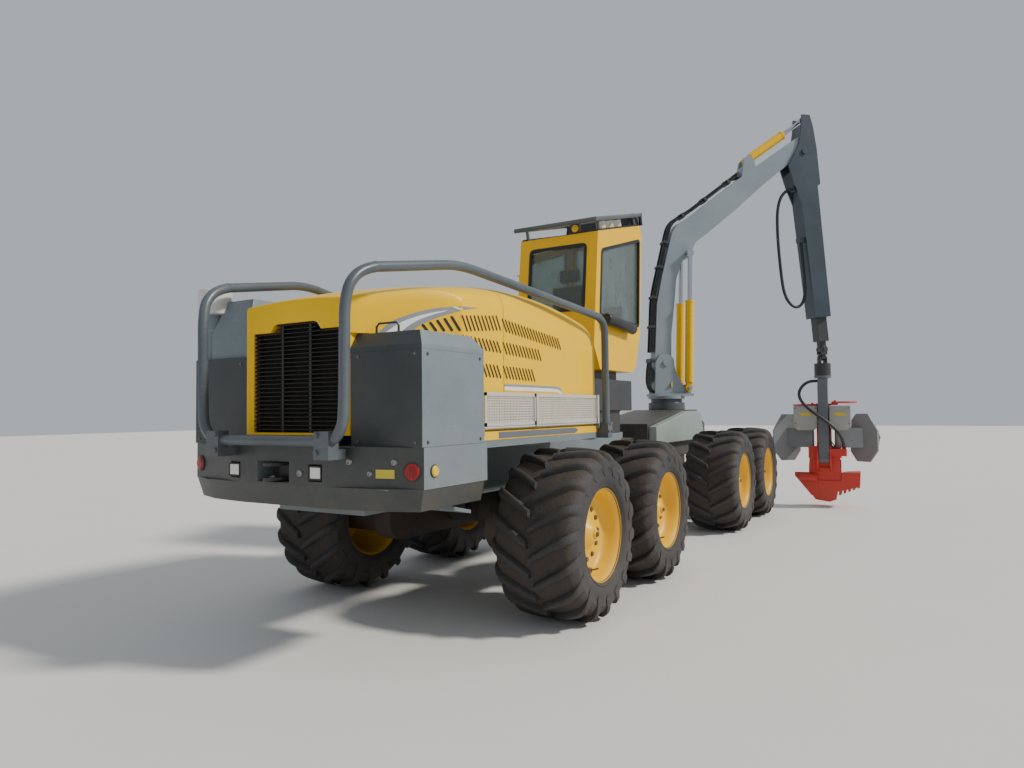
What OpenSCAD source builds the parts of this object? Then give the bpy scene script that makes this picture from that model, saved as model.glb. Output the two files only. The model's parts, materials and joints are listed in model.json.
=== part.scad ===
/* [Wheels] */
// Outside diameter of a tyre over its lugs
tyre_od = 1320; // [1200:10:1400]
// Width of a tyre
tyre_w = 690; // [600:10:720]
// Distance from the centre plane to the middle of a tyre
track_half = 1140; // [1120:5:1200]
// Diameter of a rim at its flange
rim_d = 720; // [680:10:760]
// Width of a rim
rim_w = 620; // [560:10:640]
// Height of a lug above the carcass
lug_h = 42; // [30:2:50]
// Lugs on each side of a tyre
lug_n = 18; // [14:1:18]
// Distance between the two wheels of a bogie
bogie_pitch = 1540; // [1500:10:1600]
// Distance between the two bogie centres
wheelbase = 4640; // [4600:10:4900]
// Depth of the rim's disc inside its outer flange
dish = 150; // [100:10:200]

/* [Axles] */
// Diameter of a hub's drum
hub_d = 270; // [240:10:300]
// Width of a bogie beam
beam_w = 190; // [150:10:220]
// Height of a bogie beam
beam_h = 380; // [320:10:420]
// Diameter of an axle's middle housing
housing_d = 400; // [340:10:440]
// Diameter of an axle's tube
axle_tube_d = 230; // [180:10:260]

/* [Rear frame] */
// Rear end of the chassis behind the rearmost wheel's centre
chassis_rear = 1500; // [1400:10:1560]
// Place of the steering pivot ahead of the rearmost wheel's centre
pivot_x = 3440; // [3400:10:3480]
// Height of the chassis beam's lower side
chassis_low = 930; // [900:10:960]
// Height of the chassis beam's upper side
chassis_top = 1340; // [1300:10:1340]
// Half width of the chassis beam
chassis_half = 400; // [360:10:440]
// Half width over the side rails
rail_half = 900; // [880:5:930]
// Top of the side rails, where the hood sits
rail_top = 1466; // [1460:2:1480]
// Front end of the hood and side rails
hood_front = 1180; // [1100:10:1250]
// Diameter of the steering pivot pin
steer_pin_d = 90; // [80:5:110]

/* [Hood] */
// Rear end of the hood, behind the rearmost wheel's centre
hood_rear = 1730; // [1700:5:1740]
// Half width of the hood
hood_half = 870; // [860:5:890]
// Half width of the hood's narrow tail between the boxes
tail_half = 480; // [460:5:490]
// Highest point of the hood
hood_top = 2620; // [2600:10:2640]
// Height of the hood's top at its rear end
hood_top_rear = 2370; // [2350:10:2400]
// Height of the hood's top at its front end
hood_top_front = 2510; // [2480:10:2540]
// Highest point of the crease where the hood's side ends
hood_side = 2412; // [2390:2:2430]
// Height of that crease at the hood's rear end
hood_side_rear = 2220; // [2180:10:2240]
// Height of that crease at the hood's front end
hood_side_front = 2200; // [2150:10:2240]
// Thickness of the hood's wall
hood_wall = 14; // [10:1:20]
// Number of slats in the rear grille
slat_n = 26; // [18:1:32]

/* [Rear boxes and bumper] */
// Half width over the rear boxes and the bumper
box_half = 1050; // [1000:5:1060]
// Front face of the rear boxes, behind the rearmost wheel's centre
box_front = 1040; // [1000:5:1060]
// Height of the box's lid seam
box_top = 1990; // [1950:10:2000]
// Height of the lid
lid_h = 120; // [100:5:140]
// Wall of a box
box_wall = 8; // [5:1:12]
// Height of the bumper's lower edge
bumper_low = 1150; // [1120:10:1180]
// Height of the bumper's upper edge
bumper_top = 1400; // [1380:10:1420]

/* [Guards] */
// Diameter of a hood guard tube
guard_d = 70; // [50:2:80]

/* [Cab] */
// Half width of the cab
cab_half = 490; // [470:5:540]
// Rear wall of the cab ahead of the rearmost wheel's centre
cab_rear = 2080; // [2050:10:2120]
// Front of the cab's roof
cab_front = 3480; // [3400:10:3500]
// Height of the cab's floor
cab_floor = 2060; // [2040:10:2080]
// Height of the roof at the cab's rear
roof_rear_z = 3590; // [3550:10:3620]
// Height of the roof at the cab's front
roof_front_z = 3930; // [3880:10:3960]
// Thickness of the cab's walls
cab_wall = 46; // [36:2:60]
// Thickness of the windows
glass_t = 12; // [8:1:16]

/* [Front frame] */
// Front end of the front frame ahead of the rearmost wheel's centre
front_end = 6620; // [6500:10:6700]
// Top of the front frame, where the crane sits
front_top = 1600; // [1560:10:1640]
// Half width of the front frame
front_half = 380; // [340:10:400]

/* [Crane] */
// Place of the slewing axis ahead of the rearmost wheel's centre
slew_x = 5860; // [5800:10:5900]
// Direction of the crane at rest, to the left of straight ahead
slew_rest = -50; // [-60:1:-40]
// Half width of the main boom
boom_half = 110; // [100:2:120]
// Diameter of the boom's foot pin
foot_pin_d = 100; // [80:5:120]
// Diameter of the pin between boom and stick
tip_pin_d = 90; // [70:5:100]
// Diameter of a lift cylinder's barrel
lift_barrel_d = 130; // [110:5:140]
// Diameter of a lift cylinder's rod
lift_rod_d = 70; // [60:5:80]
// Diameter of the stick cylinder's barrel
stick_barrel_d = 140; // [120:5:150]
// Diameter of the stick cylinder's rod
stick_rod_d = 70; // [60:5:80]
// Diameter of a cylinder's end pin
cyl_pin_d = 60; // [50:5:70]
// Running gap of a pin in its bore
pin_gap = 0.05; // [0.02:0.01:0.08]
// Free gap beside pieces that turn
side_gap = 6; // [5:1:10]

/* [Head] */
// Direction in which the head faces at rest
head_az = 4; // [-10:1:10]
// Height of the lower end of the saw box above the ground
head_low = 90; // [60:10:150]
// Diameter of a feed roller
roller_d = 430; // [380:10:460]
// Width of a feed roller
roller_w = 190; // [160:10:220]

/* [Hidden] */
$fn = 48;

// The row frame has its origin on the ground under the middle of the whole machine
mid_x = 3102.4;
mid_y = -694;

axle_z = tyre_od / 2;
front_axle_x = wheelbase;

// Hinge line of the folding steps: rod, its lugs along the rail, distance from the centre plane, height
step_rod_d = 22;
step_lugs = [-872, 1116];
step_y = 916;
step_z = 1492;

// Crane points in the plane of the boom: distance from the slewing axis, height
foot_pin = [-54, 2330];
tip_pin = [2380, 5780];
lift_eye = [362, 4050];
lift_base = [300, 1935];
stick_eye = [2420, 6330];
stick_base = [1430, 5625];
hang_pin = [2690, 2560];
lift_side = boom_half + side_gap + lift_barrel_d / 2;
// Gap between two pieces that sit on each other
seat_gap = 0.3;

// Head heights
yoke_z = 2420;
rotator_top = 2330;
rotator_low = 2130;
tilt_z = 780;
tilt_x = -120;
// Half width of the bracket that the head tilts in
arm_half = 75;
// Upright pin of a feed arm and of a knife, from the middle of the head
arm_pin = [30, 200];
knife_pin = [30, 170];
// How far a feed arm stands open at rest
arm_open = 35;
// Middle of a feed roller with its arm closed
drum_at = [420, 410, 1120];

module machine() translate([-mid_x, -mid_y, 0]) children();
module crane() machine() translate([slew_x, 0, 0]) rotate([0, 0, slew_rest]) children();
module head() crane() translate([hang_pin[0], 0, 0]) rotate([0, 0, head_az - slew_rest]) children();

// Extrudes an outline drawn as length and height, evenly to both sides of the centre plane
module plate_xz(w, y = 0) translate([0, y + w / 2, 0]) rotate([90, 0, 0]) linear_extrude(w) children();
// Cylinder across the machine at a length and height
module cross(p, d, w, y = 0) translate([p[0], y + w / 2, p[1]]) rotate([90, 0, 0]) cylinder(d = d, h = w);
module both_sides() {
    children();
    mirror([0, 1, 0]) children();
}
// Box from one corner to the other
module block(a, b) translate(a) cube(b - a);

// Closed loft through rings of equally many points
function loft_faces(n, m) = concat(
    [[for (j = [0 : m - 1]) j]],
    [for (i = [0 : n - 2]) for (j = [0 : m - 1])
        [(i + 1) * m + j, (i + 1) * m + (j + 1) % m, i * m + (j + 1) % m, i * m + j]],
    [[for (j = [m - 1 : -1 : 0]) (n - 1) * m + j]]);

// Tube swept along a route of points
function unit(v) = v / norm(v);
function tube_dir(p, i) = unit(p[min(i + 1, len(p) - 1)] - p[max(i - 1, 0)]);
function tube_ring(p, i, d, n) = let (t = tube_dir(p, i), s = unit(cross(t, [0.3, 1, 0.2])), u = cross(t, s))
    [for (k = [0 : n - 1]) p[i] + d / 2 * (cos(360 * k / n) * s + sin(360 * k / n) * u)];
module tube(p, d, n = 8) polyhedron(
    points = [for (i = [0 : len(p) - 1]) each tube_ring(p, i, d, n)],
    faces = loft_faces(len(p), n));

module rear_frame() color("dimgray") machine() difference() {
    beam_end = pivot_x - 480;
    union() {
        block([-chassis_rear, -chassis_half, chassis_low], [beam_end, chassis_half, chassis_top]);
        // Lugs above and below the front frame's ear
        plate_xz(460) polygon([[beam_end - 20, 950], [pivot_x, 1010], [pivot_x, 1090], [beam_end + 160, 1090],
            [beam_end - 20, 1140]]);
        plate_xz(460) polygon([[beam_end - 20, 1200], [beam_end + 160, 1250], [pivot_x, 1250], [pivot_x, 1330],
            [beam_end - 20, 1330]]);
        for (z = [1010, 1250]) translate([pivot_x, 0, z]) cylinder(r = 150, h = 80);
        // Side rails and the cross members that carry them
        both_sides() block([-box_front + 5, rail_half - 60, 1350], [hood_front, rail_half, rail_top]);
        for (x = [-950, -100, hood_front - 90])
            block([x, -rail_half + 30, 1335], [x + 80, rail_half - 30, rail_top - 20]);
        // Lugs of the folding steps
        both_sides() for (x = step_lugs) block([x, rail_half - 20, rail_top - 26], [x + 20, step_y + 16, step_z + 16]);
    }
    translate([pivot_x, 0, 900]) cylinder(d = steer_pin_d + 2 * pin_gap, h = 600);
    both_sides() translate([step_lugs[0] - 50, step_y, step_z]) rotate([0, 90, 0])
        cylinder(d = step_rod_d + 2 * pin_gap, h = 2200);
}
module engine_block() color("gray") machine()
    block([-900, -380, rail_top - 20 + seat_gap], [650, 380, 2150]);

function hood_z(x) = x < 0 ? hood_top - (hood_top - hood_top_rear) * pow(x / hood_rear, 2)
    : hood_top - (hood_top - hood_top_front) * pow(x / hood_front, 2);
// The crease is highest at this length
crease_x = -450;
function crease_z(x) = x < crease_x
    ? hood_side - (hood_side - hood_side_rear) * pow((x - crease_x) / (hood_rear + crease_x), 2)
    : hood_side - (hood_side - hood_side_front) * pow((x - crease_x) / (hood_front - crease_x), 2);
// Half section of the hood: an upright side, a rounded shoulder above the crease and a crowned top
shoulder = 270;
crown = 40;
function hood_half_ring(x, half, z0, t) = let (z = crease_z(x), top = hood_z(x) - t, rise = top - crown - z, w = half - t)
    concat([[x, w, z0]], [for (a = [0 : 18 : 90]) [x, w - shoulder + shoulder * cos(a), z + rise * sin(a)]],
        [[x, w * 0.35, top - crown * 0.25], [x, 0, top]]);
function hood_ring(x, half, z0, t) = let (h = hood_half_ring(x, half, z0, t))
    concat(h, [for (i = [len(h) - 2 : -1 : 0]) [h[i][0], -h[i][1], h[i][2]]]);
hood_stations = [-hood_rear, -1450, -1150, -850, -450, -150, 150, 450, 750, 1000, hood_front];
module hood_form(half, z0, t, x0, x1) {
    s = concat([x0], [for (x = hood_stations) if (x > x0 + 1 && x < x1 - 1) x], [x1]);
    m = len(hood_ring(0, half, z0, t));
    polyhedron(points = [for (x = s) each hood_ring(x, half, z0, t)], faces = loft_faces(len(s), m));
}
// Plan of the corner that the tail leaves free; the right one widens towards the front above the box
tail_front = -box_front + 5;
module tail_corner(inset) mirror([0, 1, 0]) linear_extrude(4000)
    polygon([[-hood_rear - 50, tail_half - inset - 20], [-hood_rear, tail_half - inset],
        [tail_front, hood_half - inset + 5], [tail_front, 1200], [-hood_rear - 50, 1200]]);
module hood() color("gold") machine() difference() {
    hood_form(hood_half, rail_top + seat_gap, 0, -hood_rear, hood_front);
    difference() {
        hood_form(hood_half, rail_top - 10, hood_wall, -hood_rear + 60, hood_front - hood_wall);
        tail_corner(hood_wall);
        both_sides() block([-hood_rear - 50, tail_half - hood_wall, 1200],
            [tail_front + hood_wall, 1200, box_top + lid_h + 8 + hood_wall]);
        block([-hood_rear - 50, tail_half - hood_wall, 1200], [tail_front + hood_wall, 1200, 3000]);
    }
    tail_corner(0);
    both_sides() block([-hood_rear - 50, tail_half, 1200], [tail_front, 1200, box_top + lid_h + 8]);
    block([-hood_rear - 50, tail_half, 1200], [tail_front, 1200, 3000]);
    // Opening of the rear grille
    block([-hood_rear - 50, -400, 1200], [-hood_rear + 100, 400, 2130]);
}
module grille() color("black") machine() {
    x0 = -hood_rear + 4;
    foot = bumper_top + seat_gap;
    slat_pitch = (2120 - 1440) / slat_n;
    both_sides() block([x0 + 20, 350, foot], [x0 + 50, 400 - seat_gap, 2120]);
    for (y = [-140, 120]) block([x0 + 20, y, foot], [x0 + 40, y + 20, 2120]);
    for (i = [0 : slat_n - 1]) translate([x0 + 4, -350.5, 1440 + i * slat_pitch])
        cube([30, 701, slat_pitch * 0.45]);
}
module rear_bumper() color("dimgray") machine() {
    difference() {
        translate([0, 0, bumper_low]) linear_extrude(bumper_top - bumper_low) polygon([
            [-1700, box_half], [-1840, 420], [-1840, -420], [-1700, -box_half], [-1010, -box_half],
            [-1010, -box_half + 12], [-chassis_rear - 0.3, -box_half + 12], [-chassis_rear - 0.3, box_half - 12],
            [-1010, box_half - 12], [-1010, box_half]]);
        // Recesses of the rear lamps and of the hitch
        for (y = [-300, 460]) block([-1850, y - 62, 1180], [-1800, y + 62, 1290]);
        block([-1850, -70, 1165], [-1700, 230, 1300]);
    }
    // Sloped underside plates beside the chassis beam
    both_sides() plate_xz(440, chassis_half + 220 + seat_gap) polygon([[-1800, bumper_low + 1], [-1500, 1030],
        [-900, 900], [-900, 925], [-1490, 1055], [-1700, bumper_low + 1]]);
}
module box_shell(y0, y1) difference() {
    block([-1715, y0, bumper_top + 0.3], [-box_front, y1, box_top]);
    block([-1715 + box_wall, y0 + box_wall, bumper_top + 20], [-box_front - box_wall, y1 - box_wall, box_top + 9]);
}
module rear_boxes() color("slategray") machine() {
    box_shell(-box_half, -tail_half - 6);
    box_shell(tail_half + 6, box_half);
    block([-1715, tail_half + 6, box_top], [-box_front, box_half, box_top + 20]);
}
module right_box_cover() color("slategray") machine() {
    cut = 60;
    w = box_half - tail_half - 6;
    translate([0, -tail_half - 6, box_top + seat_gap]) mirror([0, 1, 0]) difference() {
        hull() {
            block([-1715, 0, 0], [-box_front, w, 30]);
            block([-1715 + cut, 0, 0], [-box_front - cut, w - cut, lid_h]);
        }
        block([-1715 + box_wall, box_wall, -1], [-box_front - box_wall, w - box_wall, 24]);
    }
    // Handle loop
    foot = box_top + lid_h - 10;
    tube([[-1600, -600, foot], [-1600, -600, foot + 56], [-1600, -620, foot + 76],
        [-1600, -760, foot + 76], [-1600, -780, foot + 56], [-1600, -780, foot]], 16);
}
module air_stack() color("slategray") machine() {
    foot = box_top + 20 + seat_gap;
    hull() {
        block([-1690, 500, foot], [-1150, 900, 2200]);
        block([-1600, 560, 2200], [-1240, 840, 2440]);
    }
    // Intake pipe with its cleaner bowl
    translate([-1620, 960, foot]) cylinder(d = 110, h = 380);
    translate([-1620, 960, 2350]) cylinder(d = 240, h = 180);
}

// Route of the right guard tube from its foot at the bumper to its foot at the rail
guard_route = [[-1940, -500, 1440], [-1940, -580, 1460], [-1945, -640, 1540], [-1945, -650, 1700], [-1945, -655, 2250],
    [-1920, -665, 2380], [-1850, -675, 2460], [-1740, -690, 2510], [-1000, -760, 2640], [-820, -780, 2645],
    [-100, -880, 2570], [1060, -965, 2480], [1160, -968, 2440], [1195, -970, 2360], [1200, -970, 1480]];
module hood_guard() color("slategray") machine() {
    both_sides() {
        tube(guard_route, guard_d);
        block([1150, -1010, 1350], [1250, -rail_half - seat_gap, 1482]);
        block([-1985, -560, 1380], [-1900, -440, 1500]);
        block([-1985, -560, 1330], [-1840 - seat_gap, -440, 1395]);
    }
    translate([-1940, 500, 1440]) rotate([90, 0, 0]) cylinder(d = guard_d, h = 1000);
}
module rear_lights() color("whitesmoke") machine() {
    for (y = [-300, 460]) block([-1838, y - 55, 1190], [-1800 - seat_gap, y + 55, 1280]);
}
hitch_x = -1869;
module tow_hitch() color("dimgray") machine() difference() {
    union() {
        for (z = [1175, 1270]) hull() {
            block([-1800, 20, z], [-1700 - seat_gap, 140, z + 20]);
            translate([hitch_x, 80, z]) cylinder(r = 38, h = 20);
        }
        block([-1730, 20, 1175], [-1700 - seat_gap, 140, 1290]);
    }
    translate([hitch_x, 80, 1100]) cylinder(d = 40, h = 300);
}
module step(side) mirror([0, side < 0 ? 0 : 1, 0]) {
    for (x = [[-840, -100], [-70, 1090]]) difference() {
        block([x[0], -930, 1505], [x[1], -902, 1745]);
        block([x[0] + 20, -940, 1525], [x[1] - 20, -910, 1725]);
    }
    for (x = [-100, 1080]) block([x, -940, 1490], [x + 30, -905, 1750]);
    // Hinge rod
    translate([step_lugs[0] - 8, -step_y, step_z]) rotate([0, 90, 0])
        cylinder(d = step_rod_d, h = step_lugs[1] - step_lugs[0] + 36);
}
module right_step() color("silver") machine() step(-1);
module left_step() color("silver") machine() step(1);

module cab_base() color("black") machine() {
    block([hood_front + 200, -chassis_half, chassis_top + seat_gap], [2950, chassis_half, 1600]);
    block([2120, -440, 1600], [3240, 440, 1960]);
    block([2200, -300, 1960], [3100, 300, cab_floor - seat_gap]);
}
// Side view of the cab
cab_outline = [[cab_rear - 60, cab_floor + 250], [cab_rear + 90, roof_rear_z], [cab_front, roof_front_z],
    [cab_front + 60, roof_front_z - 110], [cab_front - 60, 2560], [cab_front - 210, cab_floor + 90],
    [cab_front - 330, cab_floor], [cab_rear + 100, cab_floor]];
function inset_outline(t) = [[cab_rear - 60 + t, cab_floor + 250 + t * 0.3], [cab_rear + 90 + t, roof_rear_z - t],
    [cab_front - t * 0.6, roof_front_z - t * 1.2], [cab_front + 60 - t, roof_front_z - 110],
    [cab_front - 60 - t, 2560], [cab_front - 210 - t * 0.9, cab_floor + 90 + t * 0.5],
    [cab_front - 330 - t * 0.3, cab_floor + t], [cab_rear + 100 + t * 0.4, cab_floor + t]];
// Windows, drawn as length and height, with a gap g all round
function side_window(g) = [[cab_rear + 110 + g, 2660 + g], [cab_rear + 185 + g, roof_rear_z - 190 - g],
    [cab_front - 30 - g, roof_front_z - 190 - g], [cab_front - 100 - g, 2640 + g]];
function door_outline(g) = [[cab_rear + 90 + g, 2140 + g], [cab_rear + 95 + g, 2600],
    [cab_rear + 170 + g, roof_rear_z - 150 - g], [cab_front - 60 - g, roof_front_z - 160 - g],
    [cab_front - 130 - g, 2560], [cab_front - 330 - g, 2140 + g]];
function door_window(g) = [[cab_rear + 170 + g, 2680 + g], [cab_rear + 245 + g, roof_rear_z - 240 - g],
    [cab_front - 150 - g, roof_front_z - 260 - g], [cab_front - 210 - g, 2640 + g]];
// Outside of the rear and the front wall at a height
function rear_x(z) = cab_rear - 60 + 150 * (z - cab_floor - 250) / (roof_rear_z - cab_floor - 250);
function front_x(z) = cab_front - 60 + 120 * (z - 2560) / (roof_front_z - 110 - 2560);
rear_window = [2720, roof_rear_z - 130, 350];
windscreen = [2600, roof_front_z - 190, cab_half - 70];
// Hinge of the door: its line, the feet and height of its barrels, its pins and their lugs
hinge_x = cab_rear + 100;
hinge_y = cab_half + 22;
hinge_feet = [2350, 3050];
hinge_h = 120;
hinge_pin_d = 14;
hinge_lug_h = 16;
module cab_shell() color("gold") machine() {
    difference() {
        plate_xz(2 * cab_half) polygon(cab_outline);
        plate_xz(2 * (cab_half - cab_wall)) polygon(inset_outline(cab_wall));
        plate_xz(300, -cab_half) polygon(side_window(0));
        block([cab_rear - 200, -rear_window[2], rear_window[0]], [cab_rear + 250, rear_window[2], rear_window[1]]);
        block([cab_front - 250, -windscreen[2], windscreen[0]], [cab_front + 200, windscreen[2], windscreen[1]]);
        // Doorway on the left
        plate_xz(300, cab_half) polygon(door_outline(0));
    }
    for (z = hinge_feet) {
        low = z - side_gap - hinge_lug_h;
        for (foot = [low, z + hinge_h + side_gap]) {
            block([cab_rear + 40, cab_half - 1, foot], [cab_rear + 80, hinge_y + 12, foot + hinge_lug_h]);
            block([cab_rear + 50, cab_half + 8, foot], [hinge_x + 8, hinge_y + 12, foot + hinge_lug_h]);
        }
        translate([hinge_x, hinge_y, low]) cylinder(d = hinge_pin_d, h = hinge_h + 2 * (side_gap + hinge_lug_h));
    }
}
module cab_door() color("gold") machine() difference() {
    union() {
        plate_xz(cab_wall, cab_half - cab_wall / 2) polygon(door_outline(7));
        // Hinge barrels at the rear edge
        for (z = hinge_feet) {
            translate([hinge_x, hinge_y, z]) cylinder(d = 30, h = hinge_h);
            block([hinge_x, cab_half + 1, z], [hinge_x + 130, cab_half + 20, z + hinge_h]);
            block([hinge_x + 90, cab_half - 1, z], [hinge_x + 130, cab_half + 2, z + hinge_h]);
        }
    }
    for (z = hinge_feet) translate([hinge_x, hinge_y, z - 1]) cylinder(d = hinge_pin_d + 2 * pin_gap, h = hinge_h + 2);
    plate_xz(300, cab_half) polygon(door_window(0));
}
// Pane that follows a sloping wall, from an inner and an outer outline
module sloped_pane(w, x0, x1, z0, z1)
    plate_xz(w) polygon([[x0, z0], [x1, z1], [x1 + glass_t, z1], [x0 + glass_t, z0]]);
module cab_glass() color([0.2, 0.25, 0.28, 0.5]) machine() {
    sloped_pane(2 * (rear_window[2] - seat_gap), rear_x(rear_window[0]) + 17, rear_x(rear_window[1]) + 17,
        rear_window[0] + seat_gap, rear_window[1] - seat_gap);
    sloped_pane(2 * (windscreen[2] - seat_gap), front_x(windscreen[0]) - 29, front_x(windscreen[1]) - 29,
        windscreen[0] + seat_gap, windscreen[1] - seat_gap);
    plate_xz(glass_t, -cab_half + cab_wall / 2) polygon(side_window(seat_gap));
}
module door_glass() color([0.2, 0.25, 0.28, 0.5]) machine()
    plate_xz(glass_t, cab_half - cab_wall / 2) polygon(door_window(seat_gap));
module seat() color("dimgray") machine() {
    block([2520, -240, 2380], [3010, 240, 2501]);
    block([2420, -230, 2500], [2560, 230, 3080]);
    block([2420, -140, 3079], [2500, 140, 3270]);
    block([2600, -120, cab_floor + cab_wall + seat_gap], [2900, 120, 2381]);
}
module cab_controls() color("black") machine() {
    both_sides() {
        block([2560, 270, 2560], [2980, 360, 2640]);
        block([2700, 290, cab_floor + cab_wall + seat_gap], [2800, 340, 2561]);
        translate([2930, 315, 2640]) cylinder(d = 40, h = 110);
    }
}
// Places things on the sloping roof, measured from its rear edge
roof_slope = atan((roof_front_z - roof_rear_z) / (cab_front - cab_rear - 90));
roof_len = (cab_front - cab_rear - 90) / cos(roof_slope);
module on_roof() machine() translate([cab_rear + 90, 0, roof_rear_z]) rotate([0, -roof_slope, 0]) children();
module roof_guard() color("slategray") on_roof() {
    lift = 130;
    side = cab_half + 5;
    both_sides() translate([-60, side, lift]) rotate([0, 90, 0]) cylinder(d = 50, h = roof_len + 90);
    for (x = [-60, roof_len + 30]) translate([x, side + 24, lift]) rotate([90, 0, 0]) cylinder(d = 50, h = 2 * side + 48);
    // Posts and their brackets
    for (x = [110, roof_len - 110]) both_sides() {
        translate([x, cab_half - 40, seat_gap]) cylinder(d = 40, h = lift);
        block([x - 15, cab_half - 40, lift - 20], [x + 15, side, lift]);
    }
}
module work_lights() color("whitesmoke") on_roof()
    for (x = [350, 600, 850]) block([x - 35, -cab_half + 60, seat_gap], [x + 35, -cab_half + 150, 95]);

module bogie_axle(x) {
    c = x + bogie_pitch / 2;
    beam_y = 590;
    hub_from = beam_y + beam_w / 2 - 1;
    hub_to = track_half + rim_w / 2 - dish - 20 - seat_gap;
    translate([c, 0, axle_z]) rotate([90, 0, 0]) cylinder(d = axle_tube_d, h = 2 * beam_y, center = true);
    translate([c, 0, axle_z]) sphere(d = housing_d);
    for (s = [-1, 1]) {
        translate([c, s * beam_y, axle_z]) rotate([90, 0, 0]) linear_extrude(beam_w, center = true) hull() {
            translate([-bogie_pitch / 2, 0]) circle(d = beam_h);
            translate([bogie_pitch / 2, 0]) circle(d = beam_h);
        }
        for (w = [0, bogie_pitch]) translate([x + w, s * hub_from, axle_z]) rotate([s * -90, 0, 0])
            cylinder(d = hub_d, h = hub_to - hub_from);
        // Seats under the frame
        block([c - 170, s * 300 - 60, axle_z], [c + 170, s * 300 + 60, chassis_low - seat_gap]);
    }
}
module rear_axle() color("dimgray") machine() bogie_axle(0);
module front_axle() color("dimgray") machine() bogie_axle(front_axle_x);

module front_frame() color("slategray") machine() {
    rear = pivot_x + 500;
    plate_xz(2 * front_half) polygon([[rear, 960], [rear + 200, chassis_low], [front_end - 350, chassis_low],
        [front_end, 1100], [front_end, 1380], [front_end - 260, 1480], [slew_x + 360, front_top],
        [slew_x - 420, front_top], [rear, 1420]]);
    // Ear and pin of the steering pivot
    plate_xz(400) polygon([[rear + 20, 1095], [rear + 20, 1240], [pivot_x, 1240], [pivot_x, 1095]]);
    translate([pivot_x, 0, 1095]) cylinder(r = 140, h = 145);
    translate([pivot_x, 0, 1000]) cylinder(d = steer_pin_d, h = 345);
}
module front_covers() color("slategray") machine() both_sides()
    plate_xz(110, front_half + 55 + seat_gap) polygon([[pivot_x + 540, 1150], [slew_x + 350, 1150],
        [slew_x + 180, 1540], [slew_x + 60, front_top - 20], [slew_x - 480, front_top - 20], [pivot_x + 540, 1380]]);
module crane_base() color("slategray") crane() {
    translate([0, 0, front_top + seat_gap]) cylinder(d = 560, h = 110);
    translate([0, 0, front_top + 110]) cylinder(d = 480, h = 60);
}
// Side plate of the crane's foot, with its boom pivot and the nose that holds a lift cylinder
foot_plate = [[-235, 1840], [345, 1840], [362, 1900], [355, 1965], [300, 1995], [205, 1990], [180, 2060],
    [110, 2190], [40, 2440], [-54, 2480], [-160, 2450], [-220, 2340]];
module crane_foot() color("slategray") crane() {
    translate([0, 0, front_top + 170 + seat_gap]) cylinder(d = 560, h = 45);
    block([-235, -250, 1810], [350, 250, 1850]);
    for (s = [-1, 1]) plate_xz(30, s * (boom_half + side_gap + 15)) polygon(foot_plate);
    cross(foot_pin, foot_pin_d, 2 * (boom_half + side_gap + 50));
    cross(lift_base, cyl_pin_d, 2 * (lift_side + 60));
}
boom_outline = [[-215, 2360], [-170, 3250], [-70, 3720], [40, 4150], [100, 4380], [200, 4530], [490, 4720],
    [1300, 5330], [1345, 5610], [1430, 5700], [1520, 5610], [1540, 5500], [2270, 6010], [2360, 6000],
    [2300, 5760], [2090, 5550], [1632, 5185], [1214, 4815], [700, 4400], [500, 4250], [430, 4120], [440, 4040],
    [300, 4000], [235, 3890], [155, 3640], [110, 3200], [60, 2800], [50, 2400]];
module main_boom() color("slategray") crane() {
    difference() {
        union() {
            plate_xz(2 * boom_half) polygon(boom_outline);
            cross(foot_pin, 300, 2 * boom_half);
            cross(tip_pin, 260, 2 * boom_half);
            cross(lift_eye, 110, 2 * (boom_half + side_gap + 30));
        }
        cross(foot_pin, foot_pin_d + 2 * pin_gap, 600);
        cross(tip_pin, tip_pin_d + 2 * pin_gap, 600);
        // Slot of the stick cylinder
        block([1290, -60, 5500], [1560, 60, 5800]);
    }
    cross(stick_base, cyl_pin_d, 2 * boom_half);
}
// Cylinder barrel with a bored eye at its foot, and rod with an eye at its end, from foot to eye
module barrel(a, b, d, rod_d, y, start, length, eye_w) {
    v = b - a;
    up = -atan2(v[1], v[0]);
    translate([a[0], y, a[1]]) rotate([0, up, 0]) difference() {
        union() {
            translate([start, 0, 0]) rotate([0, 90, 0]) cylinder(d = d, h = length);
            translate([start + length, 0, 0]) rotate([0, 90, 0]) cylinder(d = d + 8, h = 40);
            translate([0, -eye_w / 2, -45]) cube([start + 1, eye_w, 90]);
            translate([0, eye_w / 2, 0]) rotate([90, 0, 0]) cylinder(d = cyl_pin_d + 50, h = eye_w);
        }
        translate([0, eye_w, 0]) rotate([90, 0, 0]) cylinder(d = cyl_pin_d + 2 * pin_gap, h = 2 * eye_w);
        translate([start + 30, 0, 0]) rotate([0, 90, 0]) cylinder(d = d - 24, h = length - 30);
        translate([start + 30, 0, 0]) rotate([0, 90, 0]) cylinder(d = rod_d + 2 * pin_gap, h = length + 20);
    }
}
module piston(a, b, d, y, start, eye_w) {
    v = b - a;
    up = -atan2(v[1], v[0]);
    translate([a[0], y, a[1]]) rotate([0, up, 0]) {
        translate([start, 0, 0]) rotate([0, 90, 0]) cylinder(d = d, h = norm(v) - start - 30);
        translate([norm(v), eye_w / 2, 0]) rotate([90, 0, 0]) cylinder(d = cyl_pin_d + 50, h = eye_w);
    }
}
lift_barrel_len = 1240;
module lift_barrels() color("gold") crane()
    for (s = [-1, 1]) barrel(lift_base, lift_eye, lift_barrel_d, lift_rod_d, s * lift_side, 90, lift_barrel_len, 58);
module lift_rods() color("silver") crane()
    for (s = [-1, 1]) piston(lift_base, lift_eye, lift_rod_d, s * lift_side, 700, 58);
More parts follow.
